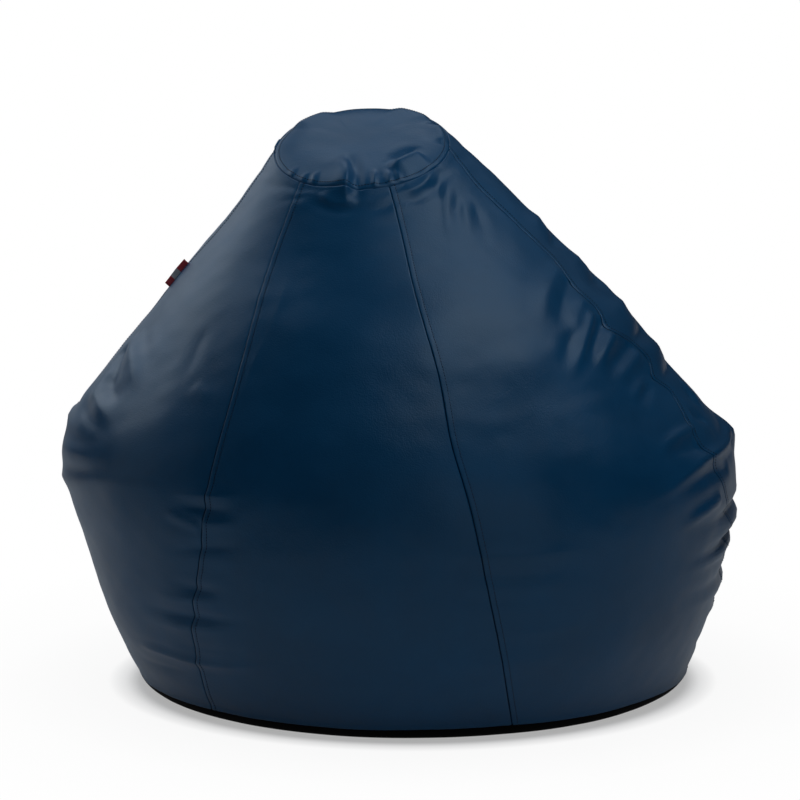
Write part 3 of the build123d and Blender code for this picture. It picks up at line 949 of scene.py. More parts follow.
def sew_row(name, row, closed, sewing):
    """Lays stitches along a row of points, as one plain mesh on the bag."""
    count = len(row)
    mesh = bpy.data.meshes.new(f"{name}_line")
    edges = [(i, i + 1) for i in range(count - 1)]
    if closed:
        edges.append((count - 1, 0))
    mesh.from_pydata([tuple(p) for p in row], edges, [])
    piece = bpy.data.objects.new(name, mesh)
    bpy.context.scene.collection.objects.link(piece)
    sewer = piece.modifiers.new("stitches", "NODES")
    tree = stitch_tree()
    sewer.node_group = tree
    sizes = {"Pitch": sewing.stitch_pitch, "Length": sewing.stitch_long, "Thread": sewing.thread}
    for item in tree.interface.items_tree:
        if item.name in sizes:
            sewer[item.identifier] = sizes[item.name]
    made = bpy.data.meshes.new_from_object(piece.evaluated_get(bpy.context.evaluated_depsgraph_get()))
    piece.modifiers.remove(sewer)
    piece.data = made
    attach(piece, "cover_leatherette")


# Materials

# Sheen of the cover, the shades of leatherette as shares of its colour, and the share of its colour left where
# shade is painted in the slit of a seam
COVER_SHEEN = (0.82, 0.94, 1.0)
LEATHER_SHADES = (0.9, 1.1)
SEAM_PAINTED_DARK = 0.15

# Shades of woven cloth, of the label's wear, of the beads, darkened in their gaps as painted shade, and of
# scuffed plastic or metal, how far their roughness strays, and how deep their relief is
WOVEN_SHADES = (0.8, 1.15)
WOVEN_SPREAD = 0.06
WEAVE_DEEP = 0.15 * MM
LABEL_WEAR = 0.8
BEAD_GAP_PAINTED_SHADE = 0.55
BEAD_DEEP = 2.0 * MM
SCUFF_SHADES = (0.8, 1.2)
SCUFF_SMOOTHER = 0.08
SCUFF_ROUGHER = 0.12
SCUFF_DEEP = 0.03 * MM

# Tones between which a finish goes from dark to light, and from smooth to rough
TONE_STOPS = (0.3, 0.7)
TONE_SPAN = (0.25, 0.75)

# Scale of the fine grain beside the pebbles, and how far a Wave texture turns in one unit, in radians
GRAIN_FINE = 0.35
WAVE_TURN = 20.0


def new_material(name):
    """A material with its node tree, and its Principled node."""
    material = bpy.data.materials.new(name)
    material.use_nodes = True
    return material, material.node_tree, material.node_tree.nodes["Principled BSDF"]


def set_inputs(node, **values):
    """Sets a node's input sockets; an underscore stands for a space."""
    for name, value in values.items():
        node.inputs[name.replace("_", " ")].default_value = value
    return node


def new_group(name, inputs, outputs):
    """An empty shader node group with its named sockets; returns its tree, input node and output node."""
    tree = bpy.data.node_groups.new(name, "ShaderNodeTree")
    for label, kind, value in inputs:
        socket = tree.interface.new_socket(label, in_out="INPUT", socket_type=kind)
        socket.default_value = value
    for label, kind in outputs:
        tree.interface.new_socket(label, in_out="OUTPUT", socket_type=kind)
    return tree, tree.nodes.new("NodeGroupInput"), tree.nodes.new("NodeGroupOutput")


def math_node(tree, operation, first, second):
    """A Math node on sockets or numbers; returns its output socket."""
    node = tree.nodes.new("ShaderNodeMath")
    node.operation = operation
    for socket, value in zip(node.inputs, (first, second)):
        if isinstance(value, bpy.types.NodeSocket):
            tree.links.new(value, socket)
        else:
            socket.default_value = value
    return node.outputs[0]


@lru_cache(maxsize=1)
def grain_group():
    """Pebbled leatherette grain: a height for bump, and a slow tone for colour and gloss."""
    inputs = (
        ("Pebbles per metre", "NodeSocketFloat", 520.0),
        ("Blotches per metre", "NodeSocketFloat", 9.0),
    )
    outputs = (("Height", "NodeSocketFloat"), ("Tone", "NodeSocketFloat"))
    tree, given, made = new_group("leatherette_grain", inputs, outputs)
    place = tree.nodes.new("ShaderNodeTexCoord").outputs["Object"]
    cells = tree.nodes.new("ShaderNodeTexVoronoi")
    cells.feature = "SMOOTH_F1"
    set_inputs(cells, Smoothness=0.6, Randomness=0.9)
    fine = set_inputs(tree.nodes.new("ShaderNodeTexNoise"), Detail=3.0, Roughness=0.6)
    slow = set_inputs(tree.nodes.new("ShaderNodeTexNoise"), Detail=4.0, Roughness=0.55)
    for node in (cells, fine, slow):
        tree.links.new(place, node.inputs["Vector"])
    pebbles = given.outputs["Pebbles per metre"]
    tree.links.new(pebbles, cells.inputs["Scale"])
    tree.links.new(math_node(tree, "MULTIPLY", pebbles, GRAIN_FINE), fine.inputs["Scale"])
    tree.links.new(given.outputs["Blotches per metre"], slow.inputs["Scale"])
    height = math_node(tree, "SUBTRACT", fine.outputs["Fac"], cells.outputs["Distance"])
    tree.links.new(height, made.inputs["Height"])
    tree.links.new(slow.outputs["Fac"], made.inputs["Tone"])
    return tree


@lru_cache(maxsize=1)
def weave_group():
    """Plain weave: a height for bump, and a thread-to-thread tone."""
    inputs = (("Threads per metre", "NodeSocketFloat", 1600.0),)
    outputs = (("Height", "NodeSocketFloat"), ("Tone", "NodeSocketFloat"))
    tree, given, made = new_group("plain_weave", inputs, outputs)
    place = tree.nodes.new("ShaderNodeTexCoord").outputs["Object"]
    bands = []
    for direction in ("X", "Y"):
        wave = tree.nodes.new("ShaderNodeTexWave")
        wave.bands_direction = direction
        set_inputs(wave, Distortion=0.6, Detail=1.0)
        tree.links.new(place, wave.inputs["Vector"])
        scale = math_node(tree, "DIVIDE", given.outputs["Threads per metre"], WAVE_TURN)
        tree.links.new(scale, wave.inputs["Scale"])
        bands.append(wave.outputs["Fac"])
    slow = set_inputs(tree.nodes.new("ShaderNodeTexNoise"), Scale=180.0, Detail=3.0)
    tree.links.new(place, slow.inputs["Vector"])
    tree.links.new(math_node(tree, "MAXIMUM", bands[0], bands[1]), made.inputs["Height"])
    tree.links.new(slow.outputs["Fac"], made.inputs["Tone"])
    return tree


def place_group(tree, group, **values):
    """Places a node group in a material with its own values."""
    node = tree.nodes.new("ShaderNodeGroup")
    node.node_tree = group
    return set_inputs(node, **values)


def tone_colour(tree, tone, dark, light):
    """A colour that follows a tone between two shades; returns its output socket."""
    ramp = tree.nodes.new("ShaderNodeValToRGB")
    for stop, position, colour in zip(ramp.color_ramp.elements, TONE_STOPS, (dark, light)):
        stop.position = position
        stop.color = (*colour, 1)
    tree.links.new(tone, ramp.inputs["Fac"])
    return ramp.outputs["Color"]


def tone_range(tree, tone, low, high):
    """A value that follows a tone between two numbers; returns its output socket."""
    node = tree.nodes.new("ShaderNodeMapRange")
    set_inputs(node, From_Min=TONE_SPAN[0], From_Max=TONE_SPAN[1], To_Min=low, To_Max=high)
    tree.links.new(tone, node.inputs["Value"])
    return node.outputs["Result"]


def add_bump(tree, shader, height, distance):
    """Roughens a shader's surface with a height."""
    bump = set_inputs(tree.nodes.new("ShaderNodeBump"), Strength=1.0, Distance=distance)
    tree.links.new(height, bump.inputs["Height"])
    tree.links.new(bump.outputs["Normal"], shader.inputs["Normal"])


def shade(colour, factor):
    """A colour made darker or lighter."""
    return tuple(channel * factor for channel in colour)


def attribute_value(tree, name):
    """The number that a piece holds at each point under a name; returns its output socket."""
    node = tree.nodes.new("ShaderNodeAttribute")
    node.attribute_name = name
    return node.outputs["Fac"]


def colour_mix(tree):
    """A node that mixes two colours."""
    node = tree.nodes.new("ShaderNodeMix")
    node.data_type = "RGBA"
    return node


def mix_shaders(tree, share, first, second):
    """A mix of two shaders by a share; returns its output socket."""
    node = tree.nodes.new("ShaderNodeMixShader")
    for source, socket in zip((share, first, second), node.inputs):
        tree.links.new(source, socket)
    return node.outputs[0]


def follow_pattern(tree, shader, pattern, colour, shades, rough, deep):
    """Lets a shader's roughness and bump follow a pattern; returns a socket with the colour's shades."""
    tree.links.new(tone_range(tree, pattern.outputs["Tone"], *rough), shader.inputs["Roughness"])
    add_bump(tree, shader, pattern.outputs["Height"], deep)
    return tone_colour(tree, pattern.outputs["Tone"], *(shade(colour, factor) for factor in shades))


def leatherette(name, colour, rough, gloss, grain_deep, pebbles, sheen=(1, 1, 1)):
    """Coated leatherette: pebbled grain, slow changes of shade and gloss, and painted shade that makes a
    seam's slit dark and dull.
    """
    material, tree, shader = new_material(name)
    grain = place_group(tree, grain_group(), Pebbles_per_metre=pebbles)
    toned = follow_pattern(tree, shader, grain, colour, LEATHER_SHADES, rough, grain_deep)
    # Painted shade: the seam value darkens the colour and takes away the gloss in a seam's slit
    seam = attribute_value(tree, "seam")
    painted_seam_shade = colour_mix(tree)
    tree.links.new(seam, painted_seam_shade.inputs["Factor"])
    tree.links.new(toned, painted_seam_shade.inputs["A"])
    painted_seam_shade.inputs["B"].default_value = (*shade(colour, SEAM_PAINTED_DARK), 1)
    tree.links.new(painted_seam_shade.outputs["Result"], shader.inputs["Base Color"])
    shiny = math_node(tree, "MULTIPLY", math_node(tree, "SUBTRACT", 1.0, seam), gloss)
    tree.links.new(shiny, shader.inputs["Specular IOR Level"])
    set_inputs(shader, Specular_Tint=(*sheen, 1))
    return material


def woven(name, colour, threads, rough):
    """Woven cloth or ribbon."""
    material, tree, shader = new_material(name)
    weave = place_group(tree, weave_group(), Threads_per_metre=threads)
    between = (rough - WOVEN_SPREAD, rough + WOVEN_SPREAD)
    toned = follow_pattern(tree, shader, weave, colour, WOVEN_SHADES, between, WEAVE_DEEP)
    tree.links.new(toned, shader.inputs["Base Color"])
    return material


def ribbon(name, colour, band):
    """Woven ribbon with a plain pale band across its middle, by the piece's own "along" attribute."""
    material, tree, shader = new_material(name)
    weave = place_group(tree, weave_group(), Threads_per_metre=1800.0)
    ramp = tree.nodes.new("ShaderNodeValToRGB")
    ramp.color_ramp.interpolation = "CONSTANT"
    ramp.color_ramp.elements[0].color = (*colour, 1)
    ramp.color_ramp.elements[1].position = LABEL_BAND[0]
    ramp.color_ramp.elements[1].color = (*band, 1)
    ramp.color_ramp.elements.new(LABEL_BAND[1]).color = (*colour, 1)
    tree.links.new(attribute_value(tree, "along"), ramp.inputs["Fac"])
    worn = colour_mix(tree)
    worn.blend_type = "MULTIPLY"
    worn.inputs["Factor"].default_value = 1.0
    tree.links.new(ramp.outputs["Color"], worn.inputs["A"])
    wear = tone_colour(tree, weave.outputs["Tone"], dark=(LABEL_WEAR,) * 3, light=(1.0,) * 3)
    tree.links.new(wear, worn.inputs["B"])
    tree.links.new(worn.outputs["Result"], shader.inputs["Base Color"])
    set_inputs(shader, Roughness=0.6)
    add_bump(tree, shader, weave.outputs["Height"], WEAVE_DEEP)
    return material


def beaded(name, colour):
    """Foam beads packed side by side, with painted shade in the gaps between them."""
    material, tree, shader = new_material(name)
    cells = set_inputs(tree.nodes.new("ShaderNodeTexVoronoi"), Scale=BEADS_PER_METRE, Randomness=0.8)
    tree.links.new(tree.nodes.new("ShaderNodeTexCoord").outputs["Object"], cells.inputs["Vector"])
    # Painted shade: the colour goes darker toward the gaps between the beads
    depth = math_node(tree, "SUBTRACT", 1.0, cells.outputs["Distance"])
    tree.links.new(tone_colour(tree, depth, shade(colour, BEAD_GAP_PAINTED_SHADE), colour), shader.inputs["Base Color"])
    set_inputs(shader, Roughness=0.55)
    add_bump(tree, shader, depth, BEAD_DEEP)
    return material


def moulded(name, colour, metallic, rough):
    """Moulded plastic or tumbled metal, with fine scuffs and slow changes of gloss."""
    material, tree, shader = new_material(name)
    grain = place_group(tree, grain_group(), Pebbles_per_metre=900.0, Blotches_per_metre=160.0)
    between = (rough - SCUFF_SMOOTHER, rough + SCUFF_ROUGHER)
    toned = follow_pattern(tree, shader, grain, colour, SCUFF_SHADES, between, SCUFF_DEEP)
    tree.links.new(toned, shader.inputs["Base Color"])
    set_inputs(shader, Metallic=metallic)
    return material


@lru_cache(maxsize=None)
def finish(name):
    """The finish of that name, made once."""
    look = bpy.context.scene.bean_bag_finish
    makers = {
        "cover": lambda: leatherette(
            "navy_leatherette", look.cover_colour[:], rough=(0.29, 0.38), gloss=0.5,
            grain_deep=0.16 * MM, pebbles=520.0, sheen=COVER_SHEEN,
        ),
        "base": lambda: leatherette(
            "black_base_leatherette", look.base_colour[:], rough=(0.6, 0.75), gloss=0.06,
            grain_deep=0.2 * MM, pebbles=420.0,
        ),
        "thread": lambda: woven("navy_thread", look.thread_colour[:], threads=2500.0, rough=0.5),
        "tape": lambda: woven("black_zip_tape", look.base_colour[:], threads=1500.0, rough=0.75),
        "label": lambda: ribbon("red_label_ribbon", look.label_colour[:], look.band_colour[:]),
        "liner": lambda: woven("white_liner_cloth", look.liner_colour[:], threads=1300.0, rough=0.8),
        "teeth": lambda: moulded("black_zip_teeth", look.base_colour[:], metallic=0.0, rough=0.35),
        "metal": lambda: moulded("dark_zip_metal", look.metal_colour[:], metallic=1.0, rough=0.38),
        "beads": lambda: beaded("foam_beads", look.bead_colour[:]),
    }
    return makers[name]()


# Stage

# The floor: half its side, how far it lies under the bag, and its share in the gloss of the cover
FLOOR_HALF = 14.0
FLOOR_DROP = 0.4 * MM
FLOOR_GLOW = 0.2

# How white the floor shows at distances in metres from the middle of the base: the lower levels near the base
# paint a contact shadow round it, over the lit floor's own shadow
FLOOR_WHITE_AND_PAINTED_SHADOW = ((0.385, 0.4), (0.405, 0.72), (0.43, 0.94), (0.6, 0.98), (0.9, 1.0))


def make_floor():
    """A pale floor that keeps the shadow, has a contact shadow painted in a ring round the base, shows white
    to the camera and is clear from below.
    """
    sides = ((-1, -1), (1, -1), (1, 1), (-1, 1))
    corners = [(x * FLOOR_HALF, y * FLOOR_HALF, -FLOOR_DROP) for x, y in sides]
    material, tree, shader = new_material("pale_floor")
    set_inputs(shader, Base_Color=(0.8, 0.8, 0.8, 1), Roughness=0.9, Specular_IOR_Level=0.0)
    glow = set_inputs(tree.nodes.new("ShaderNodeEmission"), Color=(1, 1, 1, 1), Strength=1.0)
    path = tree.nodes.new("ShaderNodeLightPath")
    seen = math_node(tree, "MAXIMUM", path.outputs["Is Camera Ray"], path.outputs["Is Transmission Ray"])
    shiny = math_node(tree, "MULTIPLY", path.outputs["Is Glossy Ray"], FLOOR_GLOW)
    away = tree.nodes.new("ShaderNodeVectorMath")
    away.operation = "DISTANCE"
    away.inputs[1].default_value = (BASE_RING.x * MM, BASE_RING.y * MM, 0)
    tree.links.new(tree.nodes.new("ShaderNodeTexCoord").outputs["Object"], away.inputs[0])
    # Painted contact shadow: the floor's white share falls in a ring round the base, letting the darker lit
    # floor show
    white = tree.nodes.new("ShaderNodeValToRGB")
    stops = white.color_ramp.elements
    stops.remove(stops[0])
    for place, level in FLOOR_WHITE_AND_PAINTED_SHADOW:
        stops.new(place).color = (level, level, level, 1)
    tree.links.new(away.outputs["Value"], white.inputs["Fac"])
    share = math_node(tree, "MULTIPLY", math_node(tree, "MAXIMUM", seen, shiny), white.outputs["Color"])
    shown = mix_shaders(tree, share, shader.outputs[0], glow.outputs[0])
    clear = tree.nodes.new("ShaderNodeBsdfTransparent")
    behind = tree.nodes.new("ShaderNodeNewGeometry").outputs["Backfacing"]
    both = mix_shaders(tree, behind, shown, clear.outputs[0])
    tree.links.new(both, tree.nodes["Material Output"].inputs["Surface"])
    floor = new_piece("floor", corners, [(0, 1, 2, 3)], material, smooth=False)


# The surround's light on surfaces: how far back a direction points where the light starts and stops rising,
# and its level at the back
SURROUND_RISE = (-0.2, 0.9)
SURROUND_LEVEL = 0.02


def make_world(scene, stage):
    """A white surround for the camera; on surfaces it is faint behind the bag and dark before it."""
    world = bpy.data.worlds.new("studio_surround")
    world.use_nodes = True
    scene.world = world
    tree = world.node_tree
    lit = tree.nodes["Background"]
    direction = tree.nodes.new("ShaderNodeTexCoord").outputs["Generated"]
    axes = tree.nodes.new("ShaderNodeSeparateXYZ")
    tree.links.new(direction, axes.inputs[0])
    depth = tree.nodes.new("ShaderNodeMapRange")
    low, high = SURROUND_RISE
    set_inputs(depth, From_Min=low, From_Max=high, To_Min=0.0, To_Max=SURROUND_LEVEL)
    depth.interpolation_type = "SMOOTHSTEP"
    tree.links.new(axes.outputs["Y"], depth.inputs["Value"])
    path = tree.nodes.new("ShaderNodeLightPath")
    matt = math_node(tree, "MULTIPLY", depth.outputs["Result"], stage.ambient)
    shiny = math_node(tree, "MULTIPLY", depth.outputs["Result"], path.outputs["Is Glossy Ray"])
    strength = math_node(tree, "MAXIMUM", matt, shiny)
    seen = math_node(tree, "MAXIMUM", path.outputs["Is Camera Ray"], path.outputs["Is Transmission Ray"])
    tree.links.new(math_node(tree, "MAXIMUM", strength, seen), lit.inputs["Strength"])
    lit.inputs["Color"].default_value = (1, 1, 1, 1)


# Softboxes round the bag: compass angle from the front toward the right, height angle, distance in metres
# and watts
Softbox = namedtuple("Softbox", "name azimuth elevation away watts")
SOFTBOXES = (
    Softbox("back_low_softbox", 210, 15, 3.0, 3.5),
    Softbox("right_low_softbox", 30, 15, 3.0, 3.2),
    Softbox("left_low_softbox", 270, 15, 3.0, 2.7),
    Softbox("left_back_softbox", 240, 40, 3.0, 1.5),
    Softbox("right_back_softbox", 150, 40, 3.0, 0.9),
    Softbox("front_low_softbox", 0, 15, 3.0, 0.5),
    Softbox("right_top_softbox", 90, 55, 1.5, 2.4),
    Softbox("front_top_softbox", 30, 55, 1.5, 1.9),
    Softbox("near_left_softbox", 240, 25, 1.5, 1.7),
    Softbox("back_top_softbox", 180, 55, 1.5, 1.4),
    Softbox("left_top_softbox", 240, 55, 1.5, 1.4),
    Softbox("near_back_softbox", 210, 25, 1.5, 0.6),
    Softbox("side_top_softbox", 60, 55, 1.5, 0.45),
)

# Their cool colour, and the size of a softbox and the height that it faces, by its distance
SOFTBOX_COLOUR = (0.8, 0.9, 1.0)
SOFTBOX_SIZE = {3.0: 1.8, 1.5: 0.8}
SOFTBOX_AIM = {3.0: 0.4, 1.5: 0.6}


def make_softbox(plan, level):
    """A square soft light that faces the bag and stays out of the picture."""
    light = bpy.data.lights.new(plan.name, "AREA")
    light.shape = "SQUARE"
    light.size = SOFTBOX_SIZE[plan.away]
    light.energy = plan.watts * level
    light.color = SOFTBOX_COLOUR
    box = bpy.data.objects.new(plan.name, light)
    turn, rise = math.radians(plan.azimuth), math.radians(plan.elevation)
    toward = Vector((math.sin(turn) * math.cos(rise), -math.cos(turn) * math.cos(rise), math.sin(rise)))
    box.location = Vector((0, 0, SOFTBOX_AIM[plan.away])) + toward * plan.away
    box.rotation_euler = (-toward).to_track_quat("-Z", "Y").to_euler()
    box.visible_camera = False
    bpy.context.scene.collection.objects.link(box)


# Width of the camera's sensor in millimetres
SENSOR = 36


def make_camera(scene, stage):
    """The camera, before the bag and a little above it."""
    data = bpy.data.cameras.new("camera")
    data.lens = stage.lens
    data.sensor_width = SENSOR
    camera = bpy.data.objects.new("camera", data)
    camera.location = stage.camera_place
    camera.rotation_euler = (math.pi / 2 - stage.camera_tilt, 0, 0)
    scene.collection.objects.link(camera)
    scene.camera = camera


# Settings that a user would change

class BagSewing(bpy.types.PropertyGroup):
    """Sizes of the sewing"""

    crown: bpy.props.FloatProperty(
        name="Crown", description="How far a gore swells between its seams", default=2.5 * MM, unit="LENGTH"
    )
    groove_depth: bpy.props.FloatProperty(
        name="Seam depth", description="How deep a seam is drawn in", default=1.6 * MM, unit="LENGTH"
    )
    groove_wide: bpy.props.FloatProperty(
        name="Seam width", description="How quickly a seam's groove runs out", default=0.6 * MM, unit="LENGTH"
    )
    allowance: bpy.props.FloatProperty(
        name="Allowance", description="Depth of the turned-in edge of a panel",
        default=3.5 * MM, unit="LENGTH"
    )
    lap: bpy.props.FloatProperty(
        name="Lap", description="Rise of the felled edge beside a seam", default=0.15 * MM, unit="LENGTH"
    )
    topstitch_in: bpy.props.FloatProperty(
        name="Topstitch place", description="Distance of a topstitch row from its seam",
        default=8 * MM, unit="LENGTH"
    )
    stitch_pull: bpy.props.FloatProperty(
        name="Stitch pull", description="How far a topstitch row sinks in", default=0.15 * MM, unit="LENGTH"
    )
    stitch_pitch: bpy.props.FloatProperty(
        name="Stitch pitch", description="Distance between stitches", default=4.2 * MM, unit="LENGTH"
    )
    stitch_long: bpy.props.FloatProperty(
        name="Stitch length", description="Length of the thread seen in one stitch",
        default=3.0 * MM, unit="LENGTH"
    )
    thread: bpy.props.FloatProperty(
        name="Thread", description="Diameter of the sewing thread", default=1.0 * MM, unit="LENGTH"
    )


class BagFinish(bpy.types.PropertyGroup):
    """Colours of the cloths and threads"""

    cover_colour: bpy.props.FloatVectorProperty(
        name="Cover", description="Leatherette of the panels and the cap",
        subtype="COLOR", size=3, min=0, max=1,
        default=(0.009, 0.119, 0.282)
    )
    base_colour: bpy.props.FloatVectorProperty(
        name="Base", description="Leatherette of the base", subtype="COLOR", size=3, min=0, max=1,
        default=(0.003, 0.003, 0.0035)
    )
    thread_colour: bpy.props.FloatVectorProperty(
        name="Thread", description="Sewing thread", subtype="COLOR", size=3, min=0, max=1,
        default=(0.001, 0.01, 0.026)
    )
    label_colour: bpy.props.FloatVectorProperty(
        name="Label", description="Ribbon of the label", subtype="COLOR", size=3, min=0, max=1,
        default=(0.95, 0.09, 0.11)
    )
    band_colour: bpy.props.FloatVectorProperty(
        name="Label band", description="Pale band on the label", subtype="COLOR", size=3, min=0, max=1,
        default=(0.95, 0.94, 0.93)
    )
    metal_colour: bpy.props.FloatVectorProperty(
        name="Metal", description="Slider, pull and stops of the zip", subtype="COLOR", size=3, min=0, max=1,
        default=(0.16, 0.16, 0.17)
    )
    liner_colour: bpy.props.FloatVectorProperty(
        name="Liner", description="Cloth of the inner liner", subtype="COLOR", size=3, min=0, max=1,
        default=(0.7, 0.69, 0.66)
    )
    bead_colour: bpy.props.FloatVectorProperty(
        name="Beads", description="Foam beads of the filling", subtype="COLOR", size=3, min=0, max=1,
        default=(0.82, 0.82, 0.8)
    )


class BagStage(bpy.types.PropertyGroup):
    """Camera and light"""

    camera_place: bpy.props.FloatVectorProperty(
        name="Camera", description="Where the camera stands", subtype="TRANSLATION", size=3, unit="LENGTH",
        default=(0, -4.370, 1.035)
    )
    camera_tilt: bpy.props.FloatProperty(
        name="Tilt", description="How far the camera looks down", subtype="ANGLE", default=math.radians(8.344)
    )
    lens: bpy.props.FloatProperty(
        name="Lens", description=f"Focal length in millimetres on a {SENSOR} mm sensor", default=142.2
    )
    light_level: bpy.props.FloatProperty(
        name="Light", description="Level of all the softboxes", default=1.0
    )
    ambient: bpy.props.FloatProperty(
        name="Ambient", description="Light from the room on matt surfaces", default=0.02
    )


# Operators

class BEANBAG_OT_side_panels(bpy.types.Operator):
    """Makes the six gores of the cover"""

    bl_idname = "bean_bag.side_panels"
    bl_label = "Side panels"

    def execute(self, context):
        sewing = context.scene.bean_bag_sewing
        for k, name in enumerate(PANELS):
            grid, _ = sewn_panel(k, sewing)
            grid = panel_turned_in(grid, sewing)
            node = f"side_panel_{name}"
            piece = sheet_piece(f"cover_{name}", grid, "cover", COVER_T * MM, "cover_leatherette", node)
            # Painted shade in the slit of each seam, strongest at the turned-in edges, kept as the "seam"
            # value for the finish
            shades = np.zeros(grid.shape[:2])
            shades[:, : len(SEAM_PAINTED_SHADE)] = SEAM_PAINTED_SHADE
            shades[:, -len(SEAM_PAINTED_SHADE) :] = SEAM_PAINTED_SHADE[::-1]
            add_values(piece, "seam", shades)
        return {"FINISHED"}


class BEANBAG_OT_cap(bpy.types.Operator):
    """Makes the round cap in the top opening"""

    bl_idname = "bean_bag.cap"
    bl_label = "Cap"

    def execute(self, context):
        sewing = context.scene.bean_bag_sewing
        grid, normals, _ = cap_grid(sewing)
        edge = grid[:1] - normals[:1] * sewing.allowance
        grid = np.concatenate([edge, grid], axis=0)
        piece = disc_piece("cover_cap", grid, "cover", COVER_T * MM, "cover_leatherette", "top_cap")
        return {"FINISHED"}


class BEANBAG_OT_base(bpy.types.Operator):
    """Makes the two halves of the base, on each side of the zip"""

    bl_idname = "bean_bag.base"
    bl_label = "Base"

    def execute(self, context):
        sewing = context.scene.bean_bag_sewing
        for side, name in BASE_HALVES:
            grid = base_half(side)
            turned = grid[:1] + np.array([0, 0, sewing.allowance])
            hem = grid[-1:] + np.array([0, 0, COVER_T * MM])
            grid = np.concatenate([turned, grid, hem], axis=0)
            piece = sheet_piece(
                f"base_{name}", grid, "base", BASE_T * MM, "base_leatherette", f"base_panel_{name}",
                from_below=True,
            )
            merge_doubles(piece)
        return {"FINISHED"}


class BEANBAG_OT_label(bpy.types.Operator):
    """Makes the plain folded label in the left back seam"""

    bl_idname = "bean_bag.label"
    bl_label = "Label"

    def execute(self, context):
        middle = float(way_at(LABEL_HEIGHT))
        spots, out, sideways = seam_spots(
            LABEL_SEAM, middle - LABEL_LONG / 2, middle + LABEL_LONG / 2, LABEL_ROWS
        )
        turn = np.radians(np.linspace(-90, 90, LABEL_FOLD_POINTS))
        fold = [(LABEL_HALF * math.sin(a), LABEL_OUT - LABEL_HALF + LABEL_HALF * math.cos(a)) for a in turn]
        legs = np.linspace(-LABEL_IN, LABEL_OUT - LABEL_HALF, LABEL_LEG_POINTS)[:-1]
        profile = [(-LABEL_HALF, o) for o in legs] + fold + [(LABEL_HALF, o) for o in legs[::-1]]
        across, away = np.array(profile).T
        most, turns = LABEL_WAVE
        wave = most * np.sin(np.linspace(0, turns, LABEL_ROWS))[:, None]
        sway = LABEL_LEAN * away**2 / LABEL_OUT + wave * away / LABEL_OUT
        lift = out[:, None] * away[None, :, None] - sideways[:, None] * (sway - across)[..., None]
        grid = spots[:, None] + lift * MM
        rows, columns = grid.shape[:2]
        piece = sheet_piece("label", grid, "label", LABEL_T * MM, "label_ribbon", "seam_label")
        add_values(piece, "along", np.repeat(np.linspace(0, 1, rows), columns))
        return {"FINISHED"}


class BEANBAG_OT_liner(bpy.types.Operator):
    """Makes the inner liner that holds the beads"""

    bl_idname = "bean_bag.liner"
    bl_label = "Liner"

    def execute(self, context):
        skin = bag_skin()
        half = len(PANELS) // 2
        for name, first in (("front", "left"), ("back", "back_right")):
            grid = inner_grid(LINER_IN, PANELS.index(first), half, range(0, skin.side_rows))
            node = f"liner_{name}"
            piece = sheet_piece(f"inner_{node}", grid, "liner", LINER_T * MM, "liner_cloth", node)
        over_cap = range(skin.side_rows - 1, len(skin.ways))
        self.round_piece("top", inner_grid(LINER_IN, 0, len(PANELS), over_cap)[:, :-1])
        self.round_piece("base", floor_grid(LINER_IN))
        return {"FINISHED"}

    def round_piece(self, name, grid):
        """Makes the round top or base of the liner."""
        node = f"liner_{name}"
        piece = disc_piece(f"inner_{node}", grid, "liner", LINER_T * MM, "liner_cloth", node)


class BEANBAG_OT_filling(bpy.types.Operator):
    """Makes the body of beads inside the liner"""

    bl_idname = "bean_bag.filling"
    bl_label = "Filling"

    def execute(self, context):
        skin = bag_skin()
        sides = inner_grid(FILL_IN, 0, len(PANELS), range(0, len(skin.ways)))[:, :-1]
        floor = floor_grid(FILL_IN)[::-1]
        grid = np.concatenate([floor[:-1], sides], axis=0)
        vertices, faces = disc(grid, grid[-1].mean(0))
        columns = grid.shape[1]
        vertices = np.concatenate([vertices, grid[:1].mean(1)])
        faces += [((j + 1) % columns, j, len(vertices) - 1) for j in range(columns)]
        piece = new_piece("filling", vertices, faces, finish("beads"))
        attach(piece, "foam_beads", "bead_fill")
        return {"FINISHED"}


class BEANBAG_OT_topstitching(bpy.types.Operator):
    """Sews the topstitch rows beside the seams, inside the cap and along the zip"""

    bl_idname = "bean_bag.topstitching"
    bl_label = "Topstitching"

    def execute(self, context):
        sewing = context.scene.bean_bag_sewing
        for k, name in enumerate(PANELS):
            sew_row(f"stitches_{name}", sewn_panel(k, sewing)[1], False, sewing)
        sew_row("stitches_cap", cap_row(sewing), True, sewing)
        for side, name in BASE_HALVES:
            sew_row(f"stitches_zip_{name}", zip_row(side, sewing), False, sewing)
        return {"FINISHED"}


class BEANBAG_OT_zip(bpy.types.Operator):
    """Makes the zip's woven tapes, and finishes its teeth, stops, slider and pull"""

    bl_idname = "bean_bag.zip"
    bl_label = "Zip"

    def execute(self, context):
        for _, name in BASE_HALVES:
            low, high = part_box(f"zip_tape_{name}")
            along, across = TAPE_POINTS
            x = np.linspace(low.x, high.x, along)
            y = np.linspace(low.y, high.y, across)
            high_wave, long_wave = TAPE_RIPPLE
            from_edges = np.sin(np.linspace(0, np.pi, across))[:, None]
            ripple = high_wave * MM * np.sin(x / (long_wave * MM))[None, :] * from_edges
            z = (low.z + high.z) / 2 + ripple
            grid = np.stack([*np.broadcast_arrays(x[None, :], y[:, None], z)], axis=-1)
            node = f"zip_tape_{name}"
            thick = (high.z - low.z) * TAPE_THIN
            piece = sheet_piece(f"tape_{name}", grid, "tape", thick, "zip_tape_cloth", node, from_below=True)
        for node in ("zip_teeth_front", "zip_teeth_back"):
            paint_node(node, finish("teeth"))
        for node in ("zip_top_stops", "zip_bottom_stop", "zip_slider", "zip_pull"):
            paint_node(node, finish("metal"))
        return {"FINISHED"}


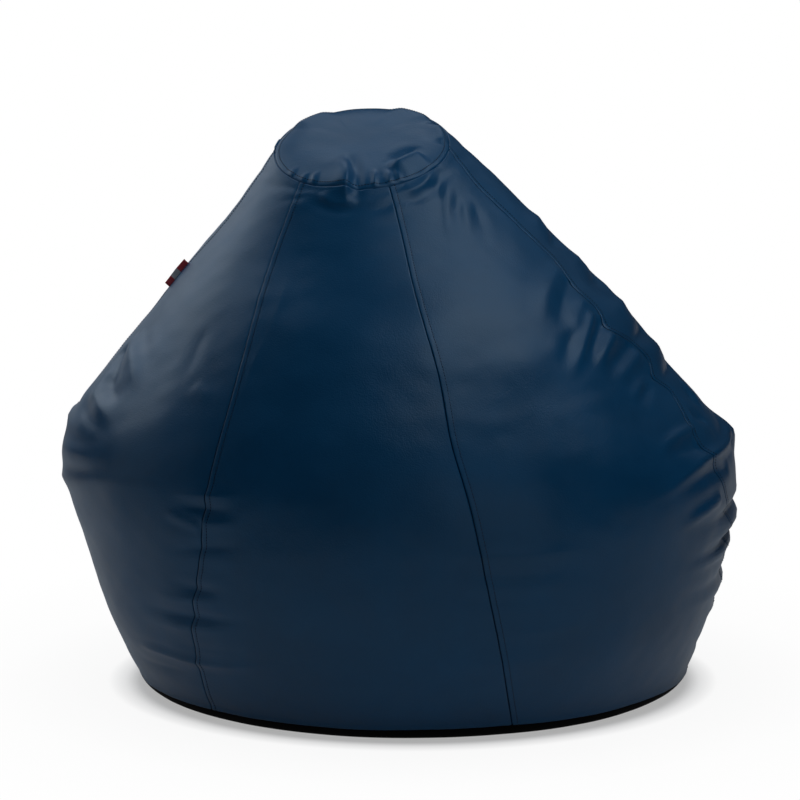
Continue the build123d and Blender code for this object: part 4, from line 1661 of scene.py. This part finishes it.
class BEANBAG_OT_stage(bpy.types.Operator):
    """Sets the floor, the lights and the camera"""

    bl_idname = "bean_bag.stage"
    bl_label = "Stage"

    def execute(self, context):
        stage = context.scene.bean_bag_stage
        make_floor()
        make_world(context.scene, stage)
        for plan in SOFTBOXES:
            make_softbox(plan, stage.light_level)
        make_camera(context.scene, stage)
        context.scene.view_settings.view_transform = "Standard"
        return {"FINISHED"}


class BEANBAG_PT_sidebar(bpy.types.Panel):
    """Lists the bean bag's settings and steps"""

    bl_label = "Bean Bag"
    bl_space_type = "VIEW_3D"
    bl_region_type = "UI"
    bl_category = "Bean Bag"

    def draw(self, context):
        for settings in GROUPS:
            group = getattr(context.scene, settings)
            box = self.layout.box()
            for name in group.bl_rna.properties.keys():
                if name not in ("rna_type", "name"):
                    box.prop(group, name)
        for step in STEPS:
            self.layout.operator(step.bl_idname)


GROUPS = {"bean_bag_sewing": BagSewing, "bean_bag_finish": BagFinish, "bean_bag_stage": BagStage}
STEPS = (
    BEANBAG_OT_side_panels,
    BEANBAG_OT_cap,
    BEANBAG_OT_base,
    BEANBAG_OT_label,
    BEANBAG_OT_topstitching,
    BEANBAG_OT_zip,
    BEANBAG_OT_liner,
    BEANBAG_OT_filling,
    BEANBAG_OT_stage,
)


def register():
    """Registers the settings, the steps and the sidebar."""
    for name, group in GROUPS.items():
        bpy.utils.register_class(group)
        setattr(bpy.types.Scene, name, bpy.props.PointerProperty(type=group))
    for step in STEPS:
        bpy.utils.register_class(step)
    bpy.utils.register_class(BEANBAG_PT_sidebar)


def unregister():
    """Takes the settings, the steps and the sidebar out again."""
    bpy.utils.unregister_class(BEANBAG_PT_sidebar)
    for step in reversed(STEPS):
        bpy.utils.unregister_class(step)
    for name, group in reversed(GROUPS.items()):
        delattr(bpy.types.Scene, name)
        bpy.utils.unregister_class(group)


def main():
    """Builds every piece in order."""
    register()
    for step in STEPS:
        area, name = step.bl_idname.split(".")
        getattr(getattr(bpy.ops, area), name)()


if __name__ == "__main__":
    main()
